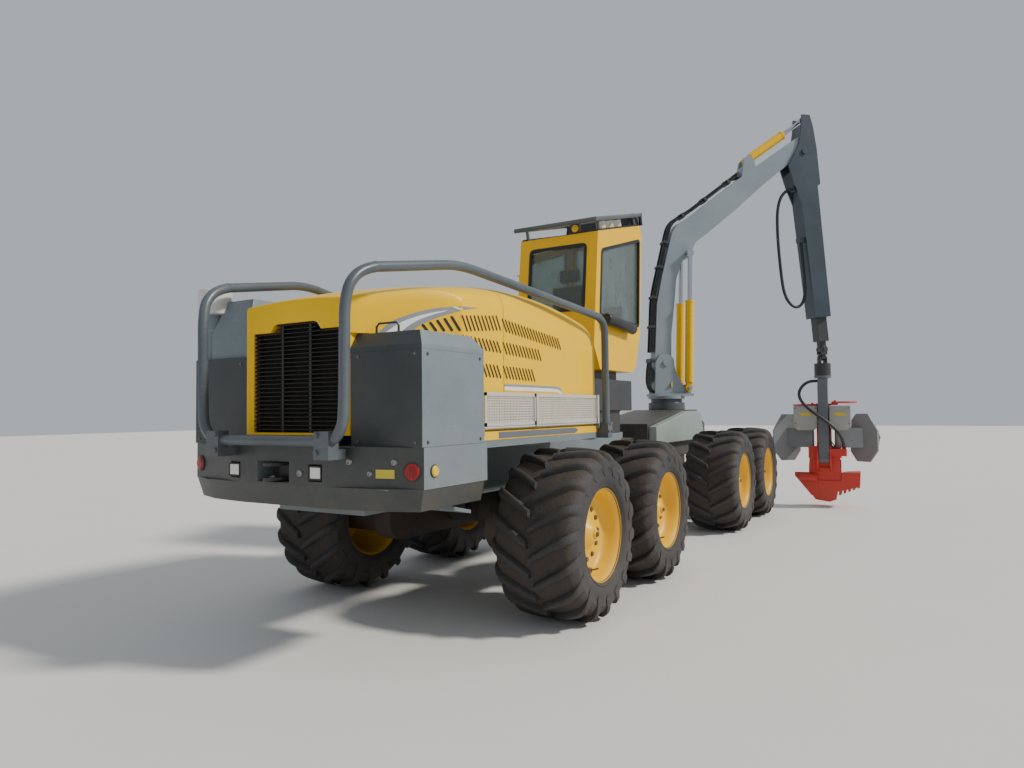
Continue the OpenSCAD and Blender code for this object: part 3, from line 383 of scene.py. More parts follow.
def buildWeather():
    # sun-faded coat, dust that settles low down and on top faces, bare scratches and mud specks
    group, n, given, out = socketed(
        "weather",
        [("Coat", "color"), ("Faded", "color"), ("Dust", "color"), ("Bare", "color"), ("Fading", "value"),
         ("Dustiness", "value"), ("Dust Top", "value"), ("Scratching", "value"), ("Grain", "value")],
        [("Color", "color"), ("Dulled", "value"), ("Height", "value")])
    place = n.place()
    up = n.add("ShaderNodeSeparateXYZ", {0: n.add("ShaderNodeNewGeometry").outputs["Normal"]}).outputs[2]
    z = n.add("ShaderNodeSeparateXYZ", {0: place}).outputs[2]
    cloud = n.noise(place, 1.7, 6.0, 0.6)
    patch = n.noise(place, 7.0, 8.0, 0.62)
    fine = n.noise(place, 42.0, 5.0, 0.6)
    coat = n.mix(n.times(n.ranged(cloud, 0.35, 0.7), given["Fading"]), given["Coat"], given["Faded"])
    spotted = n.times(n.ranged(fine, 0.42, 0.72), n.times(given["Fading"], 0.35))
    coat = n.mix(spotted, coat, given["Faded"])
    # scratches: noise drawn out along one direction and cut high
    slim = n.noise(n.drawnOut(place, (3.0, 5.0, 74.0), (0.2, 0.6, 0.1)), 1.0, 3.0)
    steep = n.noise(n.drawnOut(place, (70.0, 60.0, 2.6), (0.1, 1.2, 0.5)), 1.0, 3.0)
    marks = n.math("MAXIMUM", n.ranged(slim, 0.68, 0.74), n.ranged(steep, 0.71, 0.77))
    marks = n.times(n.times(marks, n.ranged(patch, 0.45, 0.62)), given["Scratching"], clamp=True)
    # dust: thicker below Dust Top, in patches, and on faces that look up
    low = n.ranged(n.math("SUBTRACT", given["Dust Top"], z), -0.5, 1.1)
    lying = n.times(n.times(n.ranged(up, 0.55, 1.0), 0.35), n.ranged(fine, 0.35, 0.65))
    settled = n.math("ADD", n.times(low, n.ranged(patch, 0.3, 0.72, 0.25, 1.0)), lying)
    settled = n.times(settled, given["Dustiness"], clamp=True)
    specks = n.add("ShaderNodeTexVoronoi", {"Vector": place, "Scale": 46.0}).outputs["Distance"]
    specks = n.times(n.ranged(specks, 0.1, 0.2, 1.0, 0.0), n.ranged(patch, 0.5, 0.66))
    specks = n.times(specks, n.times(given["Dustiness"], low), clamp=True)
    grime = n.math("MAXIMUM", settled, specks)
    height = n.math("ADD", n.times(n.noise(place, 210.0, 3.0, 0.6), given["Grain"]), n.times(patch, 0.5))
    height = n.math("ADD", height, n.times(grime, 0.6))
    results = {"Color": n.mix(grime, n.mix(marks, coat, given["Bare"]), given["Dust"]),
               "Dulled": n.math("MAXIMUM", grime, n.times(marks, 0.6)),
               "Height": n.math("SUBTRACT", height, n.times(marks, 0.35))}
    for label, value in results.items():
        group.links.new(value, out.inputs[label])
    return group


weather = buildWeather()


def newMaterial(name):
    # the material, its node maker, its shader's inputs and its way to link
    material = bpy.data.materials.new(name)
    material.use_nodes = True
    tree = material.node_tree
    paints[name] = material
    return nodeMaker(tree), tree.nodes["Principled BSDF"].inputs, tree.links.new


def weathered(n, colors, wear, grain):
    group = n.add("ShaderNodeGroup", node_tree=weather)
    for label, code in zip(("Coat", "Faded", "Dust", "Bare"), colors.split()):
        group.inputs[label].default_value = linear(code)
    for label, value in zip(("Fading", "Dustiness", "Dust Top", "Scratching", "Grain"), (*wear, grain)):
        group.inputs[label].default_value = value
    return group.outputs


def bumped(n, height, strength, distance):
    values = {"Height": height, "Strength": strength, "Distance": distance}
    return n.add("ShaderNodeBump", values).outputs[0]


def finishOf(name, colors, wear, gloss, grain=0.25, bump=0.12, metallic=0.0, coatWeight=0.0, shine=0.5):
    n, shader, link = newMaterial(name)
    surface = weathered(n, colors, wear, grain)
    link(surface["Color"], shader["Base Color"])
    link(n.ranged(surface["Dulled"], 0.0, 1.0, *gloss), shader["Roughness"])
    link(bumped(n, surface["Height"], bump, 0.004), shader["Normal"])
    for label, value in (("Metallic", metallic), ("Coat Weight", coatWeight), ("Specular IOR Level", shine),
                         ("Coat Roughness", 0.18)):
        shader[label].default_value = value


finishes = {
    # colours of the coat, the faded coat, dust and bare metal; fading, dustiness, the dust's top, scratching;
    # roughness where clean and where dulled; then what differs from the usual finish
    "yellowPaint": ("F2C200 E6B400 8A7A66 9FA3A4", (0.5, 0.1, 1.4, 0.08), (0.36, 0.75),
                    {"coatWeight": 0.04, "shine": 0.2}),
    "cabYellow": ("F0BE00 E2AE00 8A7A66 9FA3A4", (0.5, 0.1, 1.9, 0.08), (0.36, 0.75),
                    {"coatWeight": 0.06, "shine": 0.3}),
    "rimYellow": ("F0BE00 DFA800 8F7448 9FA3A4", (0.7, 0.36, 0.75, 0.25), (0.36, 0.85)),
    "greyPaint": ("66737A 7C888D 8A7A66 A5ABAB", (0.8, 0.3, 1.5, 0.75), (0.38, 0.75)),
    "boomPaint": ("7C8992 909BA1 8A7A66 A2AAAD", (0.7, 0.16, 2.2, 0.4), (0.36, 0.7)),
    "guardPaint": ("474F56 60696F 8A7A66 A0A5A7", (0.7, 0.2, 1.5, 0.55), (0.36, 0.72)),
    "darkSteel": ("2C2F32 3E4143 8A7A66 6E7173", (0.6, 0.5, 1.3, 0.35), (0.45, 0.9)),
    "blackPlastic": ("17191B 25282A 8A7A66 3A3D3F", (0.6, 0.25, 1.8, 0.2), (0.42, 0.85),
                    {"grain": 0.7, "bump": 0.2}),
    "axlePaint": ("303234 464442 6B5843 6E6A66", (0.7, 0.8, 1.1, 0.3), (0.55, 0.95),
                    {"grain": 0.8, "bump": 0.25}),
    "redPaint": ("D9261B C2352A 7B6A58 8F8A86", (0.75, 0.4, 0.9, 0.9), (0.36, 0.85)),
    "paleMetal": ("A8ABAA 8F9291 7C7160 C4C6C6", (0.7, 0.35, 1.5, 0.8), (0.38, 0.8)),
    "slatePaint": ("5A6068 6C727A 736A5E 9A9EA0", (0.7, 0.35, 1.2, 0.8), (0.38, 0.8)),
    "armPaint": ("7F8489 8E9296 736A5E AEB1B2", (0.7, 0.35, 1.2, 0.8), (0.38, 0.8)),
    "wornSteel": ("6B6865 8A8784 5E4B38 B8B6B2", (0.8, 0.6, 1.4, 0.9), (0.32, 0.8), {"metallic": 0.7}),
    "treadAlloy": ("DEDCD4 CBC8BF 8B8271 D8D6D0", (0.6, 0.35, 1.9, 0.5), (0.34, 0.75), {"metallic": 0.35}),
    "chromeRod": ("C9CDD0 B4B9BD 9A958C E3E6E8", (0.4, 0.08, 3.0, 0.2), (0.12, 0.4),
                    {"metallic": 1.0, "bump": 0.03}),
    "pipeZinc": ("A9A79F 8C8A84 8A7A66 C9C7C0", (0.7, 0.2, 2.5, 0.3), (0.28, 0.65), {"metallic": 0.8}),
    "hoseRubber": ("1B1C1E 2B2C2E 5C554C 4A4B4C", (0.8, 0.35, 2.6, 0.35), (0.42, 0.8),
                    {"grain": 0.8, "bump": 0.25}),
    # darker grey for rearward faces and the apron below the bumper: painted shade, on the boxes partly dark
    # panel paint
    "darkPanelAndShade": ("2E3538 3D4548 8A7A66 5A5F62", (0.6, 0.3, 1.6, 0.3), (0.4, 0.8)),
    # the stick's dark slate: painted shade, the stick stands in shade
    "shadedStickPaint": ("303C46 404D58 8A7A66 8B9397", (0.7, 0.16, 2.2, 0.45), (0.36, 0.7)),
    "coverPaint": ("86948F 96A39E 8A7A66 B4BAB8", (0.7, 0.3, 1.5, 0.5), (0.38, 0.75)),
    "shadePaint": ("3F494E 535D60 8A7A66 8E9494", (0.8, 0.3, 1.5, 0.5), (0.38, 0.75)),
    "whitePlastic": ("D5D6D2 C2C3BE 8A7A66 A9AAA6", (0.6, 0.1, 3.2, 0.15), (0.35, 0.7)),
    "whiteDecal": ("EDEEEE DCDDDC 8A7A66 C9C9C5", (0.5, 0.2, 1.9, 0.3), (0.4, 0.7)),
    "greyDecal": ("8B8D92 7E8085 8A7A66 A5A6A8", (0.5, 0.2, 1.9, 0.3), (0.4, 0.7)),
    "plateYellow": ("D8C23C C9B238 8A7A66 9FA3A4", (0.5, 0.3, 1.5, 0.3), (0.34, 0.8)),
    # near black in the slots' bottoms and behind the grille: painted shade inside the openings
    "slotShade": ("141009 0B0906 2A2318 9FA3A4", (0.6, 0.15, 2.0, 0.0), (0.7, 0.95)),
}
for name, (colors, wear, gloss, *differing) in finishes.items():
    finishOf(name, colors, wear, gloss, **(differing[0] if differing else {}))


def lensOf(name, color, rough, ribs, bump, transmission):
    # glass or lens with fine ribs and dust streaks
    n, shader, link = newMaterial(name)
    place = n.place()
    streak = n.noise(n.drawnOut(place, (3.0, 3.0, 0.9)), 4.0, 7.0, 0.65)
    link(n.mix(n.ranged(streak, 0.45, 0.8, 0.0, 0.35), linear(color), linear("8C877C")), shader["Base Color"])
    link(n.ranged(streak, 0.35, 0.8, rough, rough + 0.35), shader["Roughness"])
    link(bumped(n, n.wave(place, ribs, 0.0, "Z"), bump, 0.001), shader["Normal"])
    shader["Transmission Weight"].default_value = transmission
    shader["IOR"].default_value = 1.45


lenses = {
    # colour, roughness, ribs, their depth and how much light goes through
    "windowGlass": ("B4C2BE", 0.02, 0.5, 0.0, 0.9), "clearLens": ("E8EAE6", 0.12, 70.0, 0.3, 0.0),
    "redLens": ("8E1414", 0.16, 90.0, 0.3, 0.0), "amberLens": ("E0B81E", 0.16, 90.0, 0.3, 0.0),
}
for name, values in lenses.items():
    lensOf(name, *values)
print("stage: materials")


# Hoses that hang free
hoses = {
    "diameter": 0.05, "step": 0.012, "turn": 0.036, "swell": 0.035, "sides": 20,
    "loopSide": -0.058,   # beside the stick's axis
    "loop": [(-260.3, 2640), (-300, 2640), (-350, 2625), (-410, 2585), (-465, 2525), (-510, 2440),
             (-545, 2330), (-570, 2200), (-590, 2000), (-602, 1800), (-608, 1600), (-610, 1400),
             (-608, 1200), (-598, 1030), (-570, 900), (-522, 805), (-460, 742), (-395, 722), (-330, 745),
             (-280, 800), (-245, 880), (-225, 980), (-214, 1120), (-210, 1280), (-208, 1450), (-207, 1600),
             (-207, 1700), (-207, 1759.7)],
    "head": [(-20, 75.3, 2045), (-20, 134, 2045), (-28, 198, 2037), (-47, 255, 2011), (-72, 300, 1971),
             (-103, 332, 1923), (-137, 351, 1870), (-172, 352, 1814), (-206, 336, 1760), (-237, 308, 1709),
             (-264, 271, 1662), (-286, 228, 1617), (-305, 181, 1575), (-319, 132, 1534), (-328, 80, 1494),
             (-333, 28, 1455), (-334, -24, 1415), (-329, -75, 1373), (-320, -124, 1330), (-307, -168, 1283),
             (-288, -208, 1234), (-264, -240, 1182), (-236, -264, 1128), (-202, -279, 1073),
             (-162, -287, 1022), (-115, -290, 980.3)],
}


def hangHose(name, body, node, points):
    # tube whose radius swells with every turn of its guard: r = R (1 - d + d sin(2 pi s / p))
    path = smoothLine(points, hoses["step"])
    length = np.concatenate([[0], np.cumsum(np.linalg.norm(np.diff(path, axis=0), axis=1))])
    swell = 1 - hoses["swell"] + hoses["swell"] * np.sin(2 * math.pi * length / hoses["turn"])
    tube = pipe(path, hoses["diameter"], hoses["sides"], swell)
    hose = makePiece(name, body, [("hoseRubber", [tube])], replaced=(node,), sharp=60)


route = np.array(hoses["loop"]) / 1000
hangHose("hoseLoop", "stick", "loop_hose", onStick(np.insert(route, 1, hoses["loopSide"], axis=1)))
hangHose("hoseHead", "head_bracket", "head_hose", onHead(np.array(hoses["head"]) / 1000))
print("stage: hoses")

# Wheels
wheel = {
    "sides": 96, "rimSides": 80,
    # radius and place across of the half carcass, then its inner lining
    "carcass": [(0.348, 0.304), (0.362, 0.318), (0.376, 0.327), (0.384, 0.323), (0.392, 0.331),
                (0.43, 0.3375), (0.47, 0.3375), (0.51, 0.3335), (0.516, 0.337), (0.524, 0.3345),
                (0.55, 0.3215), (0.578, 0.299), (0.597, 0.265), (0.606, 0.2), (0.613, 0.12), (0.617, 0.05),
                (0.618, 0.0)],
    "lining": [(0.34, -0.28), (0.34, 0.28)],
    # place across, turn round the axle in degrees, radius, half width
    "lug": [(0.006, 0.0, 0.6595, 0.023), (0.09, 4.6, 0.6585, 0.025), (0.18, 9.3, 0.653, 0.027),
            (0.262, 13.4, 0.642, 0.029), (0.307, 15.8, 0.614, 0.031), (0.332, 17.5, 0.577, 0.031),
            (0.342, 19.2, 0.532, 0.027)],
    # across a lug: share of its half width, depth below its crown
    "lugSection": [(-1.5, 0.062), (-1.12, 0.02), (-0.9, 0.004), (-0.62, 0.0), (0.0, -0.0005), (0.62, 0.0),
                   (0.9, 0.004), (1.12, 0.02), (1.5, 0.062), (0.9, 0.08), (-0.9, 0.08)],
    "lugs": 18, "lugSteps": 15, "lugReach": 0.4,
    "rim": [(0.349, -0.304), (0.36, -0.31), (0.352, -0.31), (0.338, -0.292), (0.33, -0.25), (0.312, 0.0),
            (0.3, 0.1), (0.29, 0.128), (0.27, 0.14), (0.02, 0.14), (0.001, 0.14), (0.001, 0.252),
            (0.03, 0.252), (0.034, 0.247), (0.036, 0.236), (0.052, 0.234), (0.066, 0.226), (0.112, 0.182),
            (0.128, 0.174), (0.16, 0.171), (0.166, 0.163), (0.235, 0.16), (0.27, 0.164), (0.292, 0.178),
            (0.305, 0.2), (0.314, 0.235), (0.322, 0.262), (0.336, 0.288), (0.347, 0.3), (0.352, 0.31),
            (0.361, 0.309), (0.364, 0.303), (0.36, 0.297), (0.349, 0.296)],
    "nuts": 12, "nutRing": 0.2, "nutFoot": 0.159, "nutSize": 0.036,
    "valve": [(0.0, 0.18, -0.285), (0.0, 0.225, -0.27), (0.0, 0.262, -0.258)], "valveAcross": 0.014,
    "valveGuard": ((-0.022, 0.165, -0.3), (0.022, 0.2, -0.262)),
    "plug": [(0.02, 0.25), (0.02, 0.262), (0.016, 0.268), (0.001, 0.268)],
    # mud lies below the radius and inside the width where the tread ends
    "treadFoot": 0.615, "wallFrom": 0.3, "fade": 0.03, "wallShare": 0.75,
}


def turnedRound(profile, sides):
    # P = (r sin a, h, r cos a) for every (r, h) of the closed profile
    a = np.linspace(0, 2 * math.pi, sides, endpoint=False)
    rings = np.stack([np.stack([r * np.sin(a), np.full_like(a, h), r * np.cos(a)], 1) for r, h in profile])
    return loft(rings, loop=True)


def tyreShells():
    # carcass turned round the axle; lugs: stations (across, angle, radius) with a rounded trapezium section
    half = np.array(wheel["carcass"])
    shells = [turnedRound(np.vstack([half, half[-2::-1] * (1, -1), wheel["lining"]]), wheel["sides"])]
    s = smoothLine(np.array(wheel["lug"]) * (1, 0.01, 1, 1), wheel["lugReach"] / wheel["lugSteps"])
    y, turn, r, h = s[:, 0], np.radians(s[:, 1] * 100), s[:, 2], s[:, 3]
    t, d = np.array(wheel["lugSection"]).T
    rr = r[:, None] - d[None]
    x, z = rr * np.sin(turn)[:, None], rr * np.cos(turn)[:, None]
    across = t[None] * h[:, None]
    bar = np.stack([x + across * np.cos(turn)[:, None], np.broadcast_to(y[:, None], x.shape),
                    z - across * np.sin(turn)[:, None]], -1)
    for i in range(wheel["lugs"]):
        for side in (0, 1):
            c, q = turned(1.0, 0.0, (i + side / 2) * 360 / wheel["lugs"])
            p = bar * (1, -1 if side else 1, 1)
            x, z = p[..., 0] * c + p[..., 2] * q, p[..., 2] * c - p[..., 0] * q
            shells.append(loft(np.stack([x, p[..., 1], z], -1)))
    return shells


def nutShells():
    shells = []
    for k in range(wheel["nuts"]):
        c, q = turned(wheel["nutRing"], 0.0, k * 360 / wheel["nuts"])
        shells += bolt(np.array([c, wheel["nutFoot"], q]), (0, 1, 0), wheel["nutSize"])
    shells += [pipe(wheel["valve"], wheel["valveAcross"], 10), box(*wheel["valveGuard"], asDrawn)]
    return shells + [lathe(wheel["plug"], (0, 0, 0), (0, 1, 0), 6)]


def buildTread():
    # mud lies in the grooves, dust greys the walls; the piece's own attribute says how high each point stands
    n, shader, link = newMaterial("tyreRubber")
    stand = n.add("ShaderNodeAttribute", attribute_name="standing").outputs["Fac"]
    surface = weathered(n, "242425 414041 5A5048 8B857E", (0.9, 0.35, 0.8, 0.35), 0.9)
    place = n.place()
    clod, crumb = n.noise(place, 11.0, 8.0, 0.66), n.noise(place, 70.0, 4.0, 0.6)
    mud = n.math("SUBTRACT", n.ranged(clod, 0.3, 0.62), n.times(stand, 1.15), clamp=True)
    link(n.mix(mud, surface["Color"], n.mix(crumb, linear("2E2925"), linear("5A5048"))), shader["Base Color"])
    link(n.ranged(mud, 0.0, 1.0, 0.72, 0.95), shader["Roughness"])
    height = n.math("ADD", surface["Height"], n.times(n.math("ADD", clod, crumb), mud))
    link(bumped(n, height, 0.5, 0.008), shader["Normal"])


def markStanding(tyre, hub):
    # 1 on the lugs, 0 in the grooves, the wall's share on the walls
    co = np.zeros(len(tyre.data.vertices) * 3)
    tyre.data.vertices.foreach_get("co", co)
    co = co.reshape(-1, 3) - hub
    radial, across = np.hypot(co[:, 0], co[:, 2]), np.abs(co[:, 1])
    wall = np.clip((across - wheel["wallFrom"]) / wheel["fade"], 0, 1) * wheel["wallShare"]
    standing = np.maximum(np.clip((radial - wheel["treadFoot"]) / wheel["fade"], 0, 1), wall)
    attribute = tyre.data.attributes.new("standing", "FLOAT", "POINT")
    attribute.data.foreach_set("value", standing.astype(np.float32))


def buildWheels():
    buildTread()
    rubber, bowl, nuts = tyreShells(), [turnedRound(wheel["rim"], wheel["rimSides"])], nutShells()
    pitch, front = layout["bogiePitch"], layout["frontAxle"]
    for label, side in (("right", -1), ("left", 1)):
        for number, x in enumerate((0.0, pitch, front, front + pitch), 1):
            def placed(p):
                return onMachine(p * (1, side, 1) + (x, side * layout["track"], layout["axleHeight"]))
            body = f"{label}_wheel_{number}"
            tyre = makePiece(f"{label}Tyre{number}", body, [("tyreRubber", movedTo(placed, rubber))],
                             replaced=(body,), sharp=50)
            markStanding(tyre, placed(np.zeros(3)))
            parts = [("rimYellow", movedTo(placed, bowl)), ("wornSteel", movedTo(placed, nuts))]
            makePiece(f"{label}Rim{number}", body, parts, sharp=30)


buildWheels()
print("stage: wheels")

# The hood: an upright side up to a crease, an elliptic shoulder and a crowned top
hood = {
    "rear": -1.73, "front": 1.18, "half": 0.87, "foot": 1.467, "tail": 0.48, "tailFront": -1.035,
    "shelf": 2.118,   # foot of the part that stands out over the right box
    "top": (2.62, 2.37, 2.51), "side": (2.412, 2.22, 2.2), "creaseAt": -0.45, "shoulder": 0.27, "crown": 0.04,
    "opening": (0.4, 2.16, 2.215), "raised": (0.235, 0.04),   # half width and heights; its raised middle
    # sections along the hood: place and how far each sinks in, at the seam and at the two ends
    "seam": [(-0.4965, 0.0), (-0.4935, 0.006), (-0.4865, 0.006), (-0.4835, 0.0)],
    "frontEdge": [(1.174, 0.003), (1.178, 0.007), (1.18, 0.014)],
    "rearEdge": [(-1.724, 0.003), (-1.728, 0.007), (-1.73, 0.013)],
    "mouth": [(-1.73, -0.008), (-1.726, 0.0), (-1.64, 0.0)],
    # rows of slots on the side: place along and height of the first and last slot's foot, then their reach
    "slots": [((-0.975, 2.173), (-0.535, 2.219), 10, (-0.055, 0.092)),
              ((-0.445, 2.214), (0.46, 2.14), 20, (-0.06, 0.085)),
              ((-0.975, 2.058), (-0.535, 2.05), 10, (-0.048, 0.072)),
              ((-0.445, 2.045), (0.1, 2.025), 12, (-0.05, 0.078)),
              ((-0.975, 1.868), (-0.535, 1.862), 10, (-0.05, 0.082)),
              ((-0.445, 1.86), (-0.01, 1.852), 10, (-0.05, 0.084))],
    # foot and top of the slots on the slanting wall behind them, on the right only
    "tailSlots": [((-1.052, 2.17), (-1.103, 2.255)), ((-1.103, 2.166), (-1.148, 2.238)),
                  ((-1.155, 2.162), (-1.195, 2.223)), ((-1.207, 2.158), (-1.24, 2.206)),
                  ((-1.26, 2.152), (-1.287, 2.188))],
    # pressed lip of a slot and its near-black bottom, a painted shade inside the opening: half width, rise
    # over the wall
    "lip": [(0.0122, -0.001), (0.0117, 0.0018), (0.0102, 0.0022), (0.0096, 0.0)],
    "bottom": [(0.0096, -0.002), (0.0094, 0.0018)],
    # flash on the right side, from the box's lid up to its tip: outer edges, then those of its white middle
    "flash": [
        [(-1.56, -0.575, 2.124), (-1.484, -0.618, 2.199), (-1.383, -0.674, 2.251), (-1.28, -0.732, 2.289),
         (-1.175, -0.792, 2.315), (-1.066, -0.853, 2.329), (-1.03, -0.871, 2.334),
         (-0.845, -0.871, 2.347)],
        [(-1.38, -0.676, 2.124), (-1.306, -0.718, 2.186), (-1.244, -0.753, 2.223),
         (-1.148, -0.806, 2.265), (-1.06, -0.857, 2.299), (-1.028, -0.871, 2.31), (-0.845, -0.871, 2.345)],
        [(-1.522, -0.597, 2.124), (-1.434, -0.646, 2.193), (-1.358, -0.689, 2.231),
         (-1.255, -0.747, 2.269), (-1.132, -0.816, 2.299)],
        [(-1.436, -0.645, 2.124), (-1.373, -0.68, 2.183), (-1.306, -0.718, 2.227),
         (-1.228, -0.762, 2.262), (-1.132, -0.816, 2.297)],
    ],
    "slant": (-0.489, -0.872, 0),   # the slanting wall looks this way
    # line low on both sides: place along, then the heights of its grey and its white edges
    "line": [(-0.482, 1.815, 1.795, 1.767), (-0.2, 1.815, 1.795, 1.767), (0.1, 1.815, 1.795, 1.767),
             (0.3, 1.815, 1.795, 1.767), (0.4, 1.812, 1.79, 1.762), (0.45, 1.8, 1.776, 1.75),
             (0.475, 1.775, 1.76, 1.742)],
    # plain sections: from, to, how many; on both sides of the seam, and along the tail
    "behindSeam": (-1.035, -0.5, 11), "aheadOfSeam": (-0.47, 1.165, 30), "alongTail": (-1.032, -1.715, 14),
    "latches": (-0.36, 0.9), "latch": (0.04, 1.52, 1.58), "latchFaces": (0.868, 0.877),
    "button": 0.03, "buttonEnds": (0.87, 0.884),
}


def hoodTop(x):
    # z = highest - drop (x / end)^2, with its own drop towards each end
    high, rear, front = hood["top"]
    return high - np.where(x < 0, (high - rear) * (x / hood["rear"])**2,
                           (high - front) * (x / hood["front"])**2)


def creaseTop(x):
    high, rear, front = hood["side"]
    c = hood["creaseAt"]
    behind = (high - rear) * ((x - c) / (hood["rear"] - c))**2
    return high - np.where(x < c, behind, (high - front) * ((x - c) / (hood["front"] - c))**2)


def hoodHeight(x, y):
    # crown: top - c (y / flat)^2; shoulder: a quarter of an ellipse from the crown down to the crease
    flat = hood["half"] - hood["shoulder"]
    y = np.abs(y)
    crease, top = creaseTop(x), hoodTop(x)
    u = np.clip((y - flat) / hood["shoulder"], 0, 1)
    arc = crease + (top - hood["crown"] - crease) * np.sqrt(1 - u**2)
    return np.where(y < flat, top - hood["crown"] * (y / flat)**2, arc)


def hoodRing(x, sink):
    # section of the wide part from its foot on the right over the top to the left, sunk inwards
    a = np.linspace(0, math.pi / 2, 15)
    flat, shoulder = hood["half"] - hood["shoulder"], hood["shoulder"]
    crease, top = float(creaseTop(x)), float(hoodTop(x))
    wall = [(hood["half"] - sink, z) for z in np.linspace(hood["foot"], crease - 0.006, 6)]
    lip = [(hood["half"] - 0.004 - sink, crease + 0.002)]
    wide, rise = shoulder - 0.012 - sink, top - hood["crown"] - crease - 0.004 - sink
    arc = [(flat + wide * math.cos(t), crease + 0.004 + rise * math.sin(t)) for t in a]
    cap = [(y, top - hood["crown"] * (y / flat)**2 - sink) for y in np.linspace(flat, 0, 9)[1:]]
    half = np.array(wall + lip + arc + cap)
    ring = np.vstack([half * (-1, 1), half[-2::-1]])
    return np.insert(ring, 0, x, axis=1)


def tailRing(x, sink):
    # the right side widens towards the front above the box, the left one stays narrow
    share = (x - hood["rear"]) / (hood["tailFront"] - hood["rear"])
    wide = hood["tail"] + (hood["half"] - hood["tail"]) * share - sink
    narrow = hood["tail"] - sink
    foot, shelf = hood["foot"], hood["shelf"]
    right = [(-narrow, z) for z in np.linspace(foot, shelf - 0.02, 5)] + [(-narrow, shelf)]
    edge = float(hoodHeight(x, wide)) - sink - 0.012
    right += [(-wide, shelf)] + [(-wide, z) for z in np.linspace(shelf + 0.01, edge, 5)]
    across = np.linspace(-wide + 0.01, narrow - 0.01, 30)
    top = [(y, float(hoodHeight(x, y)) - sink) for y in across]
    edge = float(hoodHeight(x, narrow)) - sink - 0.012
    left = [(narrow, z) for z in np.linspace(edge, foot, 8)]
    return np.insert(np.array(right + top + left), 0, x, axis=1)


def openingRing(ring, x, inset):
    # the outer ring drawn in onto the outline of the rear opening, whose middle stands higher
    half, low, high = hood["opening"]
    y = np.clip(ring[:, 1], -half + inset, half - inset)
    middle, ramp = hood["raised"]
    rim = low + (high - low) * np.clip((middle - np.abs(y)) / ramp, 0, 1) - inset
    z = np.clip(ring[:, 2], hood["foot"] + 0.015, rim)
    z = np.where(ring[:, 2] > 2.14, rim, z)
    return np.stack([np.full(len(y), x), y, z], 1)


def slotShells(low, high, side):
    # a slot pressed out of the side: a raised lip round an opening whose near-black bottom is a painted
    # shade; both ends are arcs of a circle
    a, b = np.array(low), np.array(high)
    d = (b - a) / np.linalg.norm(b - a)
    e = np.array([-d[1], d[0]])
    t = np.linspace(-math.pi / 2, math.pi / 2, 5)[:, None]
    arc = np.cos(t) * d + np.sin(t) * e

    def ring(r, rise):
        flat = np.vstack([b + r * arc, a - r * arc])
        behind = np.minimum(flat[:, 0] - hood["tailFront"], 0) if a[0] < hood["tailFront"] else 0
        slant = (hood["half"] - hood["tail"]) / (hood["tailFront"] - hood["rear"])
        return np.insert(flat, 1, side * (hood["half"] + slant * behind + rise), axis=1)
    return [loft(np.stack([ring(*step) for step in hood[part]])) for part in ("lip", "bottom")]


def strip(upper, lower, normal, thick=0.0012):
    # thin foil between two lines of points, laid on a surface that faces along the normals
    upper, lower, normal = (np.asarray(v, float) for v in (upper, lower, normal))
    rise = normal * thick
    return loft(np.stack([upper + rise, lower + rise, lower - rise, upper - rise], 1))


def allSlots():
    # lips and bottoms of the rows on both sides and of the slots on the slanting wall
    pairs = []
    for side in (-1, 1):
        for first, final, count, reach in hood["slots"]:
            for share in np.arange(count) / (count - 1):
                foot = [a + (b - a) * share for a, b in zip(first, final)]
                pairs.append(slotShells(foot, (foot[0] + reach[0], foot[1] + reach[1]), side))
    pairs += [slotShells(foot, top, -1) for foot, top in hood["tailSlots"]]
    return [lip for lip, _ in pairs], [bottom for _, bottom in pairs]


def decals():
    # the flash and the line low on both sides: grey foils, white foils
    grey, white = [], []
    for pair, rise, foils in ((hood["flash"][:2], 0.0012, grey), (hood["flash"][2:], 0.002, white)):
        top, low = (smoothLine(v, 0.01) for v in pair)
        top, low = (v[np.round(np.linspace(0, len(v) - 1, 60)).astype(int)] for v in (top, low))
        out = np.where(top[:, :1] < hood["tailFront"] - 0.02, [hood["slant"]], [[0, -1, 0]])
        foils.append(strip(top + out * rise, low + out * rise, out))
    line = np.array(hood["line"])
    for side in (-1, 1):
        normal = np.tile([0, side, 0], (len(line), 1))
        edges = [np.insert(line[:, [0, k]], 1, side * (hood["half"] + 0.0012), axis=1) for k in (1, 2, 3)]
        grey.append(strip(edges[0], edges[1], normal))
        white.append(strip(edges[1], edges[2], normal))
    return grey, white


def buildHood():
    wide = [(x, 0.0) for x in np.linspace(*hood["behindSeam"])] + hood["seam"]
    wide += [(x, 0.0) for x in np.linspace(*hood["aheadOfSeam"])] + hood["frontEdge"]
    front = loft(np.stack([hoodRing(x, sink) for x, sink in wide]))
    tail = [(x, 0.0) for x in np.linspace(*hood["alongTail"])] + hood["rearEdge"]
    rings = [tailRing(x, sink) for x, sink in tail]
    rings += [openingRing(rings[-1], x, inset) for x, inset in hood["mouth"]]
    lips, bottoms = allSlots()
    grey, white = decals()
    # the slots' near-black bottoms are a painted shade
    parts = [("yellowPaint", [front, loft(np.stack(rings))] + lips), ("slotShade", bottoms),
             ("greyDecal", grey), ("whiteDecal", white)]
    parts = [(paint, movedTo(onMachine, shells)) for paint, shells in parts]
    makePiece("hoodSkin", "rear", parts, replaced=("hood",), sharp=40)
    # flush latches near the foot of the side
    latches = []
    reach, low, high = hood["latch"]
    for side in (-1, 1):
        for x in hood["latches"]:
            faces = [side * y for y in hood["latchFaces"]]
            latches.append(slab(rectangle(x - reach, low, x + reach, high), *faces))
            ends = [onMachine((x, side * y, (low + high) / 2)) for y in hood["buttonEnds"]]
            latches.append(rod(*ends, hood["button"], 20))
    makePiece("hoodLatches", "rear", [("blackPlastic", latches)], bevel=0.003)


buildHood()

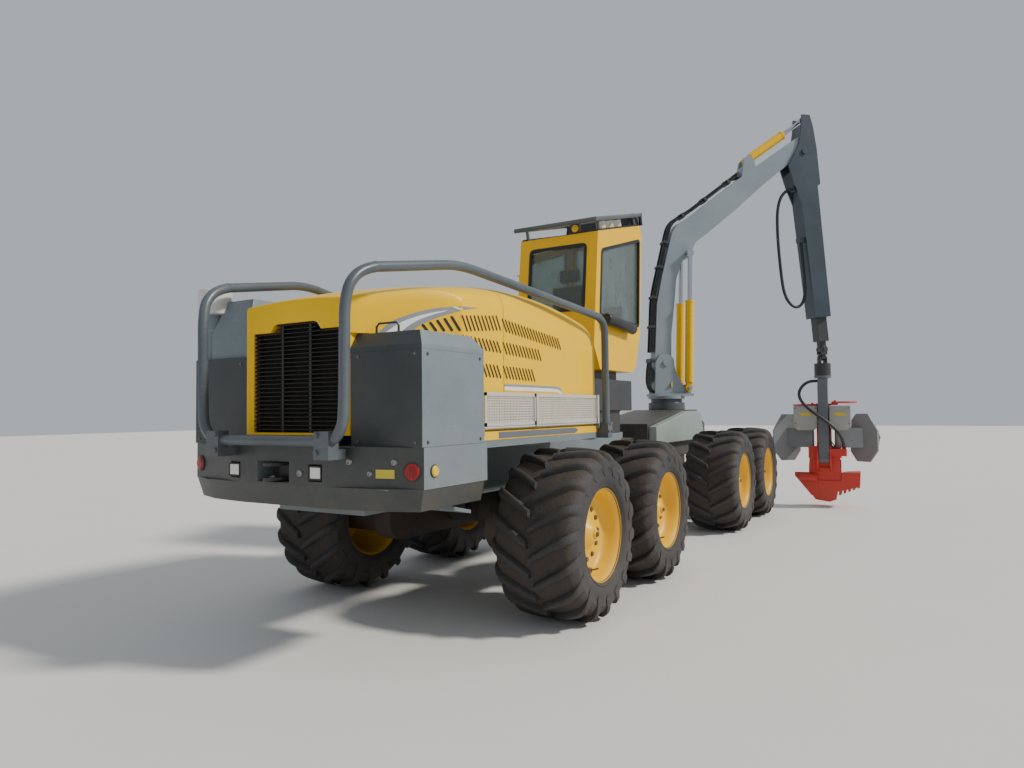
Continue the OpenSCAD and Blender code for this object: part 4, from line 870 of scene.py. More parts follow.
grille = {
    "slats": 27, "low": 1.474, "high": 2.205, "half": 0.388, "face": -1.722,
    "raised": 2.15, "raisedHalf": 0.19,   # above this height only the raised middle of the opening is left
    # section of a blade: a thin rounded strip that slopes down towards the outside
    "blade": [(0.0, 0.0), (0.004, -0.005), (0.03, 0.004), (0.034, 0.009), (0.026, 0.011)],
    "tooth": (0.394, 0.012),   # from the middle, half width
    "toothAlong": (-0.001, 0.02), "toothUp": (-0.004, 0.008),   # from the face and from the blade
    # upright bars: corner, opposite corner
    "bars": [((-1.715, -0.141, 1.47), (-1.69, -0.119, 2.2)), ((-1.715, 0.119, 1.47), (-1.69, 0.141, 2.2)),
             ((-1.7, -0.399, 1.47), (-1.67, -0.371, 2.15)), ((-1.7, 0.371, 1.47), (-1.67, 0.399, 2.15)),
             ((-1.72, -0.4, 1.402), (-1.66, 0.4, 1.478))],
    # near-black sheets behind the slats: painted shade inside the grille
    "backing": [((-1.672, -0.4, 1.47), (-1.662, 0.4, 2.158)), ((-1.672, -0.2, 2.15), (-1.662, 0.2, 2.213))],
}


def buildGrille():
    slats, teeth = [], []
    face, (reach, half) = grille["face"], grille["tooth"]
    (x0, x1), (z0, z1) = grille["toothAlong"], grille["toothUp"]
    share = np.arange(grille["slats"]) / (grille["slats"] - 1)
    for z in grille["low"] + (grille["high"] - grille["low"]) * share:
        wide = z < grille["raised"]
        width = grille["half"] if wide else grille["raisedHalf"]
        slats.append(slab([(face + a, z + b) for a, b in grille["blade"]], -width, width))
        for side in (-1, 1) if wide else ():
            y = side * reach
            teeth.append(box((face + x0, y - half, z + z0), (face + x1, y + half, z + z1)))
    parts = [("blackPlastic", slats + teeth), ("slotShade", [box(*ends) for ends in grille["backing"]]),
             ("blackPlastic", [box(*ends) for ends in grille["bars"]])]
    makePiece("grilleSlats", "rear", parts, bevel=0.0014, replaced=("grille",), segments=1)


buildGrille()
print("stage: hood")

guard = {
    "diameter": 0.07, "bend": 0.11, "step": 0.03, "sides": 22,
    "tube": 0.985, "bar": 0.98,   # shares of the diameter
    "route": [(-1.94, -0.5, 1.44), (-1.94, -0.58, 1.46), (-1.945, -0.64, 1.54), (-1.945, -0.65, 1.7),
              (-1.945, -0.655, 2.25), (-1.92, -0.665, 2.38), (-1.85, -0.675, 2.46), (-1.74, -0.69, 2.51),
              (-1.0, -0.76, 2.64), (-0.82, -0.78, 2.645), (-0.1, -0.88, 2.57), (1.06, -0.965, 2.48),
              (1.16, -0.968, 2.44), (1.195, -0.97, 2.36), (1.2, -0.97, 1.48)],
    "plates": [((1.15, -1.01, 1.35), (1.25, -0.9005, 1.482)), ((-1.985, -0.56, 1.39), (-1.9, -0.44, 1.5)),
               ((-1.987, -0.562, 1.33), (-1.8405, -0.438, 1.392))],
    "collar": [(0.035, 0), (0.062, 0), (0.062, 0.014), (0.035, 0.014)], "collarFoot": (1.2, -0.97, 1.482),
    # place, the way it looks, size
    "bolts": [((1.166, -1.01, 1.41), (0, -1, 0), 0.022), ((-1.985, -0.465, 1.3706), (-1, 0, 0), 0.034),
              ((1.234, -1.01, 1.41), (0, -1, 0), 0.022), ((-1.985, -0.465, 1.4794), (-1, 0, 0), 0.034)],
}


def buildGuard():
    # one side's tube and brackets, their mirror image, and the bar between them
    route = smoothLine(roundedLine(guard["route"], guard["bend"]), guard["step"])
    side = [pipe(route, guard["diameter"] * guard["tube"], guard["sides"])]
    side += [box(*ends, asDrawn) for ends in guard["plates"]]
    side.append(lathe(guard["collar"], guard["collarFoot"], (0, 0, 1), 28))
    for each in guard["bolts"]:
        side += bolt(*each)
    other = [(p * (1, -1, 1), f) for p, f in side]
    x, y, z = guard["route"][0]
    bar = pipe([(x, across, z) for across in np.linspace(y, -y, 9)], guard["diameter"] * guard["bar"],
               guard["sides"])
    makePiece("hoodGuard", "rear", [("guardPaint", movedTo(onMachine, side + other + [bar]))],
              replaced=("hood_guard",), bevel=0.002, segments=1)


buildGuard()

steps = {
    "panels": [(-0.84, -0.1), (-0.07, 1.09)], "low": 1.505, "high": 1.745, "cell": (0.0222, 0.02),
    "hole": 0.0066, "edge": 0.012, "sheet": (-0.921, -0.9185), "frame": (-0.93, -0.904),
    "rail": 0.022, "post": 0.02,
    "cheeks": (-0.1, 1.08), "cheek": (0.03, -0.94, -0.905, 1.49, 1.75),
    "ribs": (-0.62, -0.3, 0.2, 0.5, 0.8), "rib": (0.014, -0.913, -0.905, 1.51, 1.74),
    "hinge": (-0.88, 1.144, 0.916, 1.492, 0.022),
}


def merged(points, faces):
    # points closer than a hundredth of a millimetre become one
    _, first, number = np.unique(np.round(points, 5), axis=0, return_index=True, return_inverse=True)
    number = number.reshape(-1)
    return points[first], [[int(number[k]) for k in face] for face in faces]


def holedPlate(x0, x1, z0, z1, y0, y1):
    # each cell is a square with an eight-sided hole: 12 faces before, 12 behind, 8 in the hole
    columns, rows = round((x1 - x0) / steps["cell"][0]), round((z1 - z0) / steps["cell"][1])
    w, h = (x1 - x0) / columns, (z1 - z0) / rows
    t = np.radians(22.5 + 45 * np.arange(8))
    hole = np.stack([np.cos(t), np.sin(t)], 1) * steps["hole"]
    square = np.array([(1, 0.42), (0.42, 1), (-0.42, 1), (-1, 0.42), (-1, -0.42), (-0.42, -1), (0.42, -1),
                       (1, -0.42), (1, 1), (-1, 1), (-1, -1), (1, -1)]) * (w / 2, h / 2)
    flat = np.vstack([hole, square])
    n = len(flat)
    face = [[k, 8 + k, 8 + (k + 1) % 8, (k + 1) % 8] for k in range(8)]
    face += [[8, 16, 9], [10, 17, 11], [12, 18, 13], [14, 19, 15]]
    right, top, left, foot = (19, 15, 8, 16), (16, 9, 10, 17), (17, 11, 12, 18), (18, 13, 14, 19)
    faces, points = [], []
    for i in range(columns):
        for j in range(rows):
            start = len(points) * 2 * n
            for f in face:
                faces += [[start + k for k in f], [start + n + k for k in f[::-1]]]
            for k in range(8):
                m = (k + 1) % 8
                faces.append([start + k, start + m, start + n + m, start + n + k])
            ends = ((right, i == columns - 1), (left, i == 0), (top, j == rows - 1), (foot, j == 0))
            for rim in [rim for rim, edge in ends if edge]:
                for a, b in zip(rim[:-1], rim[1:]):
                    faces.append([start + b, start + a, start + n + a, start + n + b])
            p = flat + (x0 + (i + 0.5) * w, z0 + (j + 0.5) * h)
            points.append(np.vstack([np.insert(p, 1, y0, axis=1), np.insert(p, 1, y1, axis=1)]))
    return merged(np.vstack(points), faces)


def buildSteps():
    low, high, edge = steps["low"], steps["high"], steps["edge"]
    sheets, bars = [], []
    for x0, x1 in steps["panels"]:
        sheets.append(holedPlate(x0 + edge, x1 - edge, low + edge, high - edge, *steps["sheet"]))
        y0, y1 = steps["frame"]
        bars += [((x0, y0, z), (x1, y1, z + steps["rail"])) for z in (low, high - steps["rail"])]
        bars += [((x, y0, low), (x + steps["post"], y1, high)) for x in (x0, x1 - steps["post"])]
    for many, one in (("cheeks", "cheek"), ("ribs", "rib")):
        places, (wide, y0, y1, foot, top) = steps[many], steps[one]
        bars += [((x, y0, foot), (x + wide, y1, top)) for x in places]
    rails = [box(*ends, asDrawn) for ends in bars]
    x0, x1, y, z, across = steps["hinge"]
    for side, name in ((-1, "right"), (1, "left")):
        def placed(p):
            return onMachine(p * (1, -side, 1))
        body = f"{name}_step"
        makePiece(f"{name}StepSheet", body, [("treadAlloy", movedTo(placed, sheets))], sharp=30)
        shells = movedTo(placed, rails + [rod((x0, -y, z), (x1, -y, z), across, 20)])
        makePiece(f"{name}StepFrame", body, [("treadAlloy", shells)], bevel=0.002,
                  replaced=(body,))


buildSteps()
print("stage: guards and steps")


def roundedLoop(outline, radius):
    # closed outline whose corners are bends
    p = np.asarray(outline, float)
    p = np.vstack([bend(a, b, c, radius, 0.45, 5) for a, b, c in zip(np.roll(p, 1, 0), p, np.roll(p, -1, 0))])
    area = (p[:, 0] * np.roll(p[:, 1], -1) - np.roll(p[:, 0], -1) * p[:, 1]).sum()
    return p if area > 0 else p[::-1]


def offsetLoop(p, depth):
    # every point moves inwards, square to the line between its neighbours
    t = np.roll(p, -1, 0) - np.roll(p, 1, 0)
    t /= np.linalg.norm(t, axis=1)[:, None]
    return p + np.stack([-t[:, 1], t[:, 0]], 1) * depth


def band(outline, inner, outer, low, high, place, axis=1, radius=0.05):
    # flat frame round an outline, from low to high across it
    p = roundedLoop(outline, radius)
    o, i = offsetLoop(p, -outer), offsetLoop(p, inner)
    corners = ((o, low), (o, high), (i, high), (i, low))
    points, faces = loft(np.stack([np.insert(q, axis, h, axis=1) for q, h in corners], 1), loop=True)
    return place(points), faces


cab = {
    # the sloping walls: x and z of the foot, run, rise
    "rearLine": (2.02, 2.31, 0.15, 1.28), "frontLine": (3.42, 2.56, 0.12, 1.26),
    "side": [(2.19, 2.66), (2.265, 3.4), (3.45, 3.74), (3.38, 2.64)],
    "door": [(2.25, 2.68), (2.325, 3.35), (3.33, 3.67), (3.27, 2.64)],
    "rearWindow": (0.35, 2.72, 3.46), "screen": (0.42, 2.6, 3.74),
    # seals: inwards, outwards, low, high
    "seal": (0.022, 0.014, 0.478, 0.497), "endSeal": (0.02, 0.014, -0.012, 0.006),
    "handle": [(3.0, 0.488, 2.45), (3.0, 0.53, 2.45), (2.85, 0.53, 2.45), (2.85, 0.488, 2.45)],
    "handleBend": 0.03, "handleAcross": 0.018, "handlePlate": ((2.8, 0.488, 2.4), (3.05, 0.495, 2.5)),
    # on the roof: visor's section, the guard's front bends, drip edges, lamps
    "roofLength": 1.35,
    "visor": [(-0.24, 0.012), (-0.17, 0.12), (0.0, 0.165), (0.13, 0.1), (0.15, -0.02), (0.13, -0.03),
              (0.1, 0.07), (0.0, 0.135), (-0.15, 0.1), (-0.21, 0.012)],
    "visorHalf": 0.43, "cheek": (0.415, 0.006),
    "bend": [(-0.06, 0.13), (0.03, 0.125), (0.03, 0.0)], "bendSide": 0.495, "bendRadius": 0.06,
    "bendAcross": 0.045,
    "drip": (0.02, 1.23, 0.475, 0.012, 0.001, 0.016),   # along, middle and half width across, up
    "lamps": (0.35, 0.6, 0.85), "lampShell": ((-0.05, -0.42, 0.012), (0.05, -0.345, 0.1)),
    "lampFoot": ((-0.012, -0.4, 0.0), (0.012, -0.36, 0.02)),
    "lampLens": [(0.036, 0), (0.036, 0.006), (0.024, 0.011), (0.001, 0.013)], "lensPlace": (-0.42, 0.056),
    "beaconLens": [(0.04, 0), (0.04, 0.008), (0.03, 0.014), (0.001, 0.017)],
    "beaconPlace": (0.0, -0.22, 0.062),
    "beacon": [((0.0, -0.27, 0.014), (0.045, -0.17, 0.11)), ((0.012, -0.24, -0.002), (0.034, -0.2, 0.02))],
    "blind": [(0.03, 0.0), (0.055, 0.006), (0.062, 0.02), (0.062, 0.8), (0.055, 0.814), (0.03, 0.82)],
    "blindFoot": (2.2, -0.556, 2.615), "blindWay": (1, 0, -0.06), "blindHooks": (2.32, 2.9),
    "blindHook": ((-0.015, -0.58, 2.55), (0.015, -0.487, 2.62)),
    "wiper": [[(0.015, -0.05, 2.62), (0.03, -0.03, 2.85), (0.022, 0.02, 3.2)],
              [(0.014, 0.0, 2.95), (0.013, 0.02, 3.2), (0.014, 0.04, 3.5)]],
    "wiperAcross": (0.014, 0.012), "wiperHub": [(0.025, 0), (0.025, 0.02), (0.012, 0.03)],
    "wiperPivot": (0.0, -0.05, 2.62), "columnAcross": 0.04,
    "display": ((3.02, -0.4, 2.66), (3.05, -0.14, 2.86)), "column": [(3.03, -0.32, 2.2), (3.03, -0.32, 2.67)],
}


def onWall(line, side):
    # the sloping rear or front wall: x = foot + run (z - low) / rise
    foot, low, run, rise = line

    def place(p):
        p = np.asarray(p, float)
        wall = foot + run * (p[..., 2] - low) / rise
        return onMachine(np.stack([wall + side * p[..., 0], p[..., 1], p[..., 2]], -1))
    return place


def buildCab():
    inner, outer, low, high = cab["seal"]
    seals = [band(cab["side"], inner, outer, -high, -low, onMachine)]
    for window, wall, side in (("rearWindow", "rearLine", -1), ("screen", "frontLine", 1)):
        (half, foot, top), line = cab[window], cab[wall]
        seals.append(band(rectangle(-half, foot, half, top), *cab["endSeal"], onWall(line, side), axis=0))
    makePiece("cabSeals", "rear", [("blackPlastic", seals)], bevel=0.002, segments=1)
    handle = pipe(onMachine(roundedLine(cab["handle"], cab["handleBend"])), cab["handleAcross"], 12)
    door = [band(cab["door"], *cab["seal"], onMachine), handle, box(*cab["handlePlate"])]
    makePiece("doorSeal", "cab_door", [("blackPlastic", door)], bevel=0.002, segments=1)
    buildRoof()
    blind = [lathe(cab["blind"], onMachine(cab["blindFoot"]), cab["blindWay"], 36)]
    blind += [box(*(np.array(end) + (x, 0, 0) for end in cab["blindHook"])) for x in cab["blindHooks"]]
    makePiece("blindCase", "rear", [("blackPlastic", blind)], bevel=0.003)
    front = onWall(cab["frontLine"], 1)
    routes = zip(cab["wiper"], cab["wiperAcross"], (10, 8))
    wiper = [pipe(front(route), across, sides) for route, across, sides in routes]
    wiper.append(lathe(cab["wiperHub"], front(cab["wiperPivot"]), (1, 0, 0), 20))
    makePiece("wiper", "rear", [("blackPlastic", wiper)], sharp=40)
    # screen and column inside, ahead of the seat's right arm
    inside = [box(*cab["display"]), rod(*onMachine(cab["column"]), cab["columnAcross"], 20)]
    makePiece("cabScreen", "rear", [("blackPlastic", inside)], bevel=0.006)


def buildRoof():
    # dark visor, the guard's bends, drip edges, a row of white lamps, an amber lamp on the rear edge
    length, half, (cheek, thick) = cab["roofLength"], cab["visorHalf"], cab["cheek"]
    visor = [(length + x, z) for x, z in cab["visor"]]
    dark, drips = [slab(visor, -half, half, onRoof)], []
    x0, x1, middle, wide, foot, top = cab["drip"]
    for side in (-1, 1):
        dark.append(slab(visor[:6], side * cheek - thick, side * cheek + thick, onRoof))
        bends = [(length + x, side * cab["bendSide"], z) for x, z in cab["bend"]]
        dark.append(pipe(onRoof(roundedLine(bends, cab["bendRadius"])), cab["bendAcross"], 14))
        drips.append(box((x0, side * middle - wide, foot), (x1, side * middle + wide, top), onRoof))
    shells, lenses = [], []
    for x in cab["lamps"]:
        for part in ("lampShell", "lampFoot"):
            shells.append(box(*(np.array(end) + (x, 0, 0) for end in cab[part]), onRoof))
        lenses.append(lathe(cab["lampLens"], onRoof((x, *cab["lensPlace"])), (0, -1, 0), 28))
    makePiece("roofTrim", "rear", [("blackPlastic", dark + drips)], bevel=0.004)
    makePiece("workLamps", "rear", [("whitePlastic", shells), ("clearLens", lenses)],
              bevel=0.006, replaced=("work_lights",))
    beacon = [lathe(cab["beaconLens"], onRoof(cab["beaconPlace"]), (-1, 0, 0), 32)]
    holder = [box(*ends, onRoof) for ends in cab["beacon"]]
    makePiece("roofBeacon", "rear", [("amberLens", beacon), ("blackPlastic", holder)],
              bevel=0.005, sharp=35)


buildCab()


def buildCloth():
    # woven cloth: two crossed sets of threads, worn paler in patches
    n, shader, link = newMaterial("seatCloth")
    place = n.place()
    threads = [n.wave(place, 150.0, 0.4, way) for way in ("Y", "Z", "X")]
    weave = n.math("MAXIMUM", n.times(threads[0], threads[1]), n.times(threads[0], threads[2]))
    wear = n.ranged(n.noise(place, 6.0, 6.0, 0.6), 0.45, 0.75)
    lint = n.ranged(n.noise(place, 240.0, 2.0), 0.62, 0.75)
    color = n.mix(weave, linear("1E2124"), linear("34383C"))
    color = n.mix(n.times(wear, 0.5), color, linear("4B4F52"))
    link(n.mix(n.times(lint, 0.25), color, linear("6A6B68")), shader["Base Color"])
    link(n.ranged(wear, 0.0, 1.0, 0.95, 0.8), shader["Roughness"])
    link(bumped(n, weave, 0.4, 0.001), shader["Normal"])


buildCloth()
seat = {
    "voxel": 0.006, "pressure": 4.0, "frames": 20, "cap": 0.011, "inset": 0.0084,
    "quality": 5, "stretch": 12, "bending": 0.8, "around": 40, "upwards": 24, "squareness": 0.3,
    "cushion": ((2.52, -0.24, 2.392), (3.01, 0.24, 2.501)),
    "back": ((2.425, -0.23, 2.512), (2.555, 0.23, 3.07)),
    "headrest": ((2.425, -0.14, 3.085), (2.497, 0.14, 3.265)),
    "shell": [(2.405, 2.46), (2.423, 2.46), (2.423, 3.05), (2.405, 3.03)], "shellHalf": 0.2,
    "pan": [((2.5, -0.22, 2.372), (2.99, 0.22, 2.39)), ((2.56, -0.15, 2.3), (2.92, 0.15, 2.37))],
    "folds": 5, "foldFoot": 2.125, "foldPitch": 0.035, "fold": ((2.59, -0.12, 0.0), (2.91, 0.12, 0.028)),
    "foldOut": 0.012,   # every other fold stands out by this
    "posts": (-0.06, 0.06), "post": (2.46, 3.04, 3.12, 0.014),   # along, foot, top, diameter
    # piping: half width, how far in from the pad's ends, its sides and its face, and its corners
    "piping": 0.0045, "pipingIn": (0.016, 0.01, 0.03), "pipingCorner": 0.07,
}


def padForm(lo, hi):
    # box with rounded edges: x, y and z are cosines and sines of two angles, each to a small power
    u = np.linspace(-math.pi / 2, math.pi / 2, seat["upwards"] + 2)[1:-1]
    v = np.linspace(-math.pi, math.pi, seat["around"], endpoint=False)

    def power(t):
        return np.sign(t) * np.abs(t)**seat["squareness"]
    x = power(np.cos(u))[:, None] * power(np.cos(v))[None]
    y = power(np.cos(u))[:, None] * power(np.sin(v))[None]
    z = np.broadcast_to(power(np.sin(u))[:, None], x.shape)
    lo, hi = np.array(lo) + seat["inset"], np.array(hi) - seat["inset"]
    points, faces = loft((lo + hi) / 2 + np.stack([x, y, z], -1) * (hi - lo) / 2)
    return onMachine(points), faces


def placesOf(mesh):
    co = np.zeros(len(mesh.vertices) * 3)
    mesh.vertices.foreach_get("co", co)
    return co.reshape(-1, 3)


def frozen(piece):
    return bpy.data.meshes.new_from_object(piece.evaluated_get(bpy.context.evaluated_depsgraph_get()))


def inflated(name, plain):
    # the pad is remeshed, blown up as cloth under even pressure, and no point moves further than the cap
    work = bpy.data.objects.new(name + "Work", plain)
    bpy.context.scene.collection.objects.link(work)
    remesh = work.modifiers.new("remesh", "REMESH")
    remesh.mode = "VOXEL"
    remesh.voxel_size = seat["voxel"]
    still = frozen(work)
    work.modifiers.clear()
    work.data = still
    rest = placesOf(still)
    cloth = work.modifiers.new("cloth", "CLOTH")
    cloth.settings.quality = seat["quality"]
    cloth.settings.use_pressure = True
    cloth.settings.uniform_pressure_force = seat["pressure"]
    cloth.settings.tension_stiffness = seat["stretch"]
    cloth.settings.compression_stiffness = seat["stretch"]
    cloth.settings.bending_stiffness = seat["bending"]
    cloth.settings.effector_weights.gravity = 0
    cloth.collision_settings.use_collision = False
    for number in range(1, seat["frames"] + 1):
        bpy.context.scene.frame_set(number)
    blown = frozen(work)
    move = placesOf(blown) - rest
    bpy.context.scene.frame_set(1)
    far = np.linalg.norm(move, axis=1)[:, None]
    move *= np.minimum(1, seat["cap"] / np.maximum(far, 1e-9))
    blown.vertices.foreach_set("co", (rest + move).ravel())
    bpy.data.objects.remove(work)
    return blown


def buildPad(name):
    points, faces = outward(padForm(*seat[name]))
    mesh = bpy.data.meshes.new(name)
    mesh.from_pydata(points.tolist(), [], faces)
    mesh = inflated(name, mesh)
    mesh.name = f"seat_{name}"
    mesh.materials.clear()
    mesh.materials.append(paints["seatCloth"])
    mesh.polygons.foreach_set("use_smooth", [True] * len(mesh.polygons))
    piece = bpy.data.objects.new(f"seat_{name}", mesh)
    bpy.context.scene.collection.objects.link(piece)
    finer = piece.modifiers.new("finer", "SUBSURF")
    finer.levels = finer.render_levels = 1
    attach(piece, "rear")
    return piece


def pipingOf(lo, hi, flat, up):
    # cord along a pad's edge: a rounded loop in the plane across the axis up, R = path + r (u side + v up)
    end, side, face = seat["pipingIn"]
    outline = rectangle(lo[flat] + end, side - hi[1], hi[flat] - end, hi[1] - side)
    loop = roundedLoop(outline, seat["pipingCorner"])
    path = np.zeros((len(loop), 3))
    path[:, flat], path[:, 1], path[:, up] = loop[:, 0], loop[:, 1], hi[up] - face
    path = onMachine(path)
    t = np.roll(path, -1, 0) - np.roll(path, 1, 0)
    t /= np.linalg.norm(t, axis=1)[:, None]
    axis = np.eye(3)[up]
    ring = disc(seat["piping"], 8)
    return loft(path[:, None] + ring[None, :, :1] * np.cross(t, axis)[:, None] + ring[None, :, 1:] * axis,
                loop=True)


def buildSeat():
    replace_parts(buildPad("cushion"), "seat")
    buildPad("back")
    buildPad("headrest")
    # shell behind the pads, pan, folded bellows of the suspended foot, headrest posts and piping
    half = seat["shellHalf"]
    plastic = [slab(seat["shell"], -half, half)] + [box(*ends) for ends in seat["pan"]]
    for k in range(seat["folds"]):
        out = np.array([seat["foldOut"] * (k % 2), 0, 0])
        lo, hi = (np.array(end) + (0, 0, seat["foldFoot"] + k * seat["foldPitch"]) for end in seat["fold"])
        plastic.append(box(lo - out, hi + out))
    x, foot, top, across = seat["post"]
    metal = [rod(onMachine((x, y, foot)), onMachine((x, y, top)), across, 12) for y in seat["posts"]]
    piping = [pipingOf(*seat["cushion"], 0, 2), pipingOf(*seat["back"], 2, 0)]
    makePiece("seatShell", "rear", [("blackPlastic", plastic), ("chromeRod", metal), ("hoseRubber", piping)],
              bevel=0.003)


buildSeat()
print("stage: cab")

rear = {
    # white lamps: middles across, then the half width, foot and top of the bezel, its back and the lens
    "lamps": (-0.3, 0.46), "bezel": (0.055, 1.19, 1.28), "lampBack": (0.05, 1.195, 1.275),
    "lamp": (0.045, 1.2, 1.27),
    "bezelEdge": 0.008, "bezelCorner": 0.012,
    # where each of them starts and ends along the machine
    "bezelAlong": (-1.842, -1.8), "backAlong": (-1.83, -1.8005), "lampAlong": (-1.839, -1.828),
    # the bumper's face, and how it slants beyond its corner
    "face": -1.84, "corner": 0.42, "slant": (0.14, 0.63),
    "redPlace": (0.975, 1.255), "amberPlace": (-1.6, 1.05, 1.255),
    "redLens": [(0.05, 0.0), (0.05, 0.012), (0.04, 0.02), (0.001, 0.024)],
    "redRim": [(0.056, -0.004), (0.056, 0.008), (0.05, 0.01), (0.05, -0.004)],
    "amberLens": [(0.034, 0.0), (0.034, 0.01), (0.026, 0.016), (0.001, 0.018)],
    "amberRim": [(0.04, -0.003), (0.04, 0.006), (0.034, 0.008), (0.03, -0.003)],
    "plate": (-0.86, -0.74, 1.215, 1.265), "plateThick": 0.003, "plateOut": 0.002,
    # apron that slants inwards below the bumper: outline seen from above, heights, how its foot is drawn in
    "apron": [(-1.04, -1.046), (-1.7, -1.046), (-1.797, -0.78), (-1.84, -0.42)],
    "apronHeights": (1.154, 1.015), "drawnIn": (0.987, 0.96), "apronThick": 0.006,
    "inward": [(0, 1), (0.7, 0.7), (1, 0), (1, 0), (1, 0), (1, 0), (0.7, -0.7), (0, -1)],
    # sockets in the bumper's face: across, up, size
    "sockets": [(0.08, 1.19, 0.03), (-0.17, 1.23, 0.04), (-0.56, 1.31, 0.034), (-0.7, 1.24, 0.03),
                (-0.86, 1.31, 0.034)],
    "strip": (-1.03, 1.405, 1.14, 1.463), "stripFaces": (0.8995, 0.9035), "panelFaces": (0.9, 0.906),
    "panel": [(-0.62, 1.413), (0.66, 1.413), (0.72, 1.435), (0.66, 1.457), (-0.62, 1.457)],
    "boltHeights": (1.96, 1.43), "sideBolts": ((-1.66, -1.09), 1.05), "endBolts": (-1.715, (0.55, 1.0)),
    "bolt": 0.018,
}


def onBumper(y):
    # x of the bumper's rear face: it slants forward beyond its corner
    run, across = rear["slant"]
    return rear["face"] + max(0, run * (abs(y) - rear["corner"]) / across)


def buildLamps():
    # bezels with white lenses; red tail lamps; amber side markers; a blank plate
    bezels, clear, red, amber = [], [], [], []
    for y in rear["lamps"]:
        half, low, high = rear["bezel"]
        bezels.append(band(rectangle(y - half, low, y + half, high), rear["bezelEdge"], 0.0,
                           *rear["bezelAlong"], onMachine, axis=0, radius=rear["bezelCorner"]))
        for part, along, shells in (("lampBack", "backAlong", bezels), ("lamp", "lampAlong", clear)):
            (half, low, high), (x0, x1) = rear[part], rear[along]
            shells.append(box((x0, y - half, low), (x1, y + half, high)))
    run, across = rear["slant"]
    out = np.array([-across, -run, 0]) / math.hypot(across, run)
    for side in (-1, 1):
        y, z = rear["redPlace"]
        at, way = onMachine((onBumper(y), side * y, z)), out * (1, -side, 1)
        red.append(lathe(rear["redLens"], at, way, 36))
        bezels.append(lathe(rear["redRim"], at, way, 36))
        at, way = onMachine(np.array(rear["amberPlace"]) * (1, side, 1)), (0, side, 0)
        amber.append(lathe(rear["amberLens"], at, way, 32))
        bezels.append(lathe(rear["amberRim"], at, way, 32))
    y0, y1, low, high = rear["plate"]
    x0, x1 = (onBumper(y) - rear["plateOut"] for y in (y0, y1))
    plate = np.array([(x0, y0, low), (x1, y1, low), (x1, y1, high), (x0, y0, high)])
    plates = [loft(onMachine(np.stack([plate, plate + (rear["plateThick"], 0, 0)])))]
    parts = [("blackPlastic", bezels), ("clearLens", clear), ("redLens", red), ("amberLens", amber),
             ("plateYellow", plates)]
    makePiece("rearLamps", "rear", parts, bevel=0.002, replaced=("rear_lights",), segments=1)


def buildApron():
    # each ring runs round the apron's thickness
    half = np.array(rear["apron"])
    high = np.vstack([half, half[::-1] * (1, -1)])
    low = high * rear["drawnIn"]
    inward = np.array(rear["inward"]) * rear["apronThick"]
    top, foot = rear["apronHeights"]
    edges = ((high, top), (low, foot), (low + inward, foot), (high + inward, top))
    rings = [np.insert(p, 2, z, axis=1) for p, z in edges]
    sockets = []
    for y, z, size in rear["sockets"]:
        r = size / 2
        profile = [(r, -0.004), (r, 0.012), (r - 0.004, 0.014), (r - 0.006, 0.004), (0.001, 0.004)]
        sockets.append(lathe(profile, onMachine((onBumper(y), y, z)), (-1, 0, 0), 24))
    # the apron's darker grey is a painted shade below the bumper
    parts = [("darkPanelAndShade", [loft(onMachine(np.stack(rings, 1)))]), ("paleMetal", sockets)]
    makePiece("rearApron", "rear", parts, bevel=0.002)


def buildRear():
    buildLamps()
    buildApron()
    # painted strip with its blue-grey panel on the rails' outer faces
    for side, label in ((-1, "right"), (1, "left")):
        strips = [slab(rectangle(*rear["strip"]), *sorted(side * y for y in rear["stripFaces"]))]
        panel = [slab(rear["panel"], *sorted(side * y for y in rear["panelFaces"]))]
        makePiece(f"{label}RailStrip", "rear", [("yellowPaint", strips), ("slatePaint", panel)],
                  bevel=0.0015, segments=1)
    # bolts that hold the boxes' covers and panels
    bolts = []
    along, side = rear["sideBolts"]
    for x in along:
        for way in (-1, 1):
            for z in rear["boltHeights"]:
                bolts += bolt(onMachine((x, way * side, z)), (0, way, 0), rear["bolt"])
    x, across = rear["endBolts"]
    for y in across:
        for side in (-1, 1):
            for z in rear["boltHeights"]:
                bolts += bolt(onMachine((x, side * y, z)), (-1, 0, 0), rear["bolt"])
    makePiece("boxBolts", "rear", [("wornSteel", bolts)], sharp=30)


buildRear()

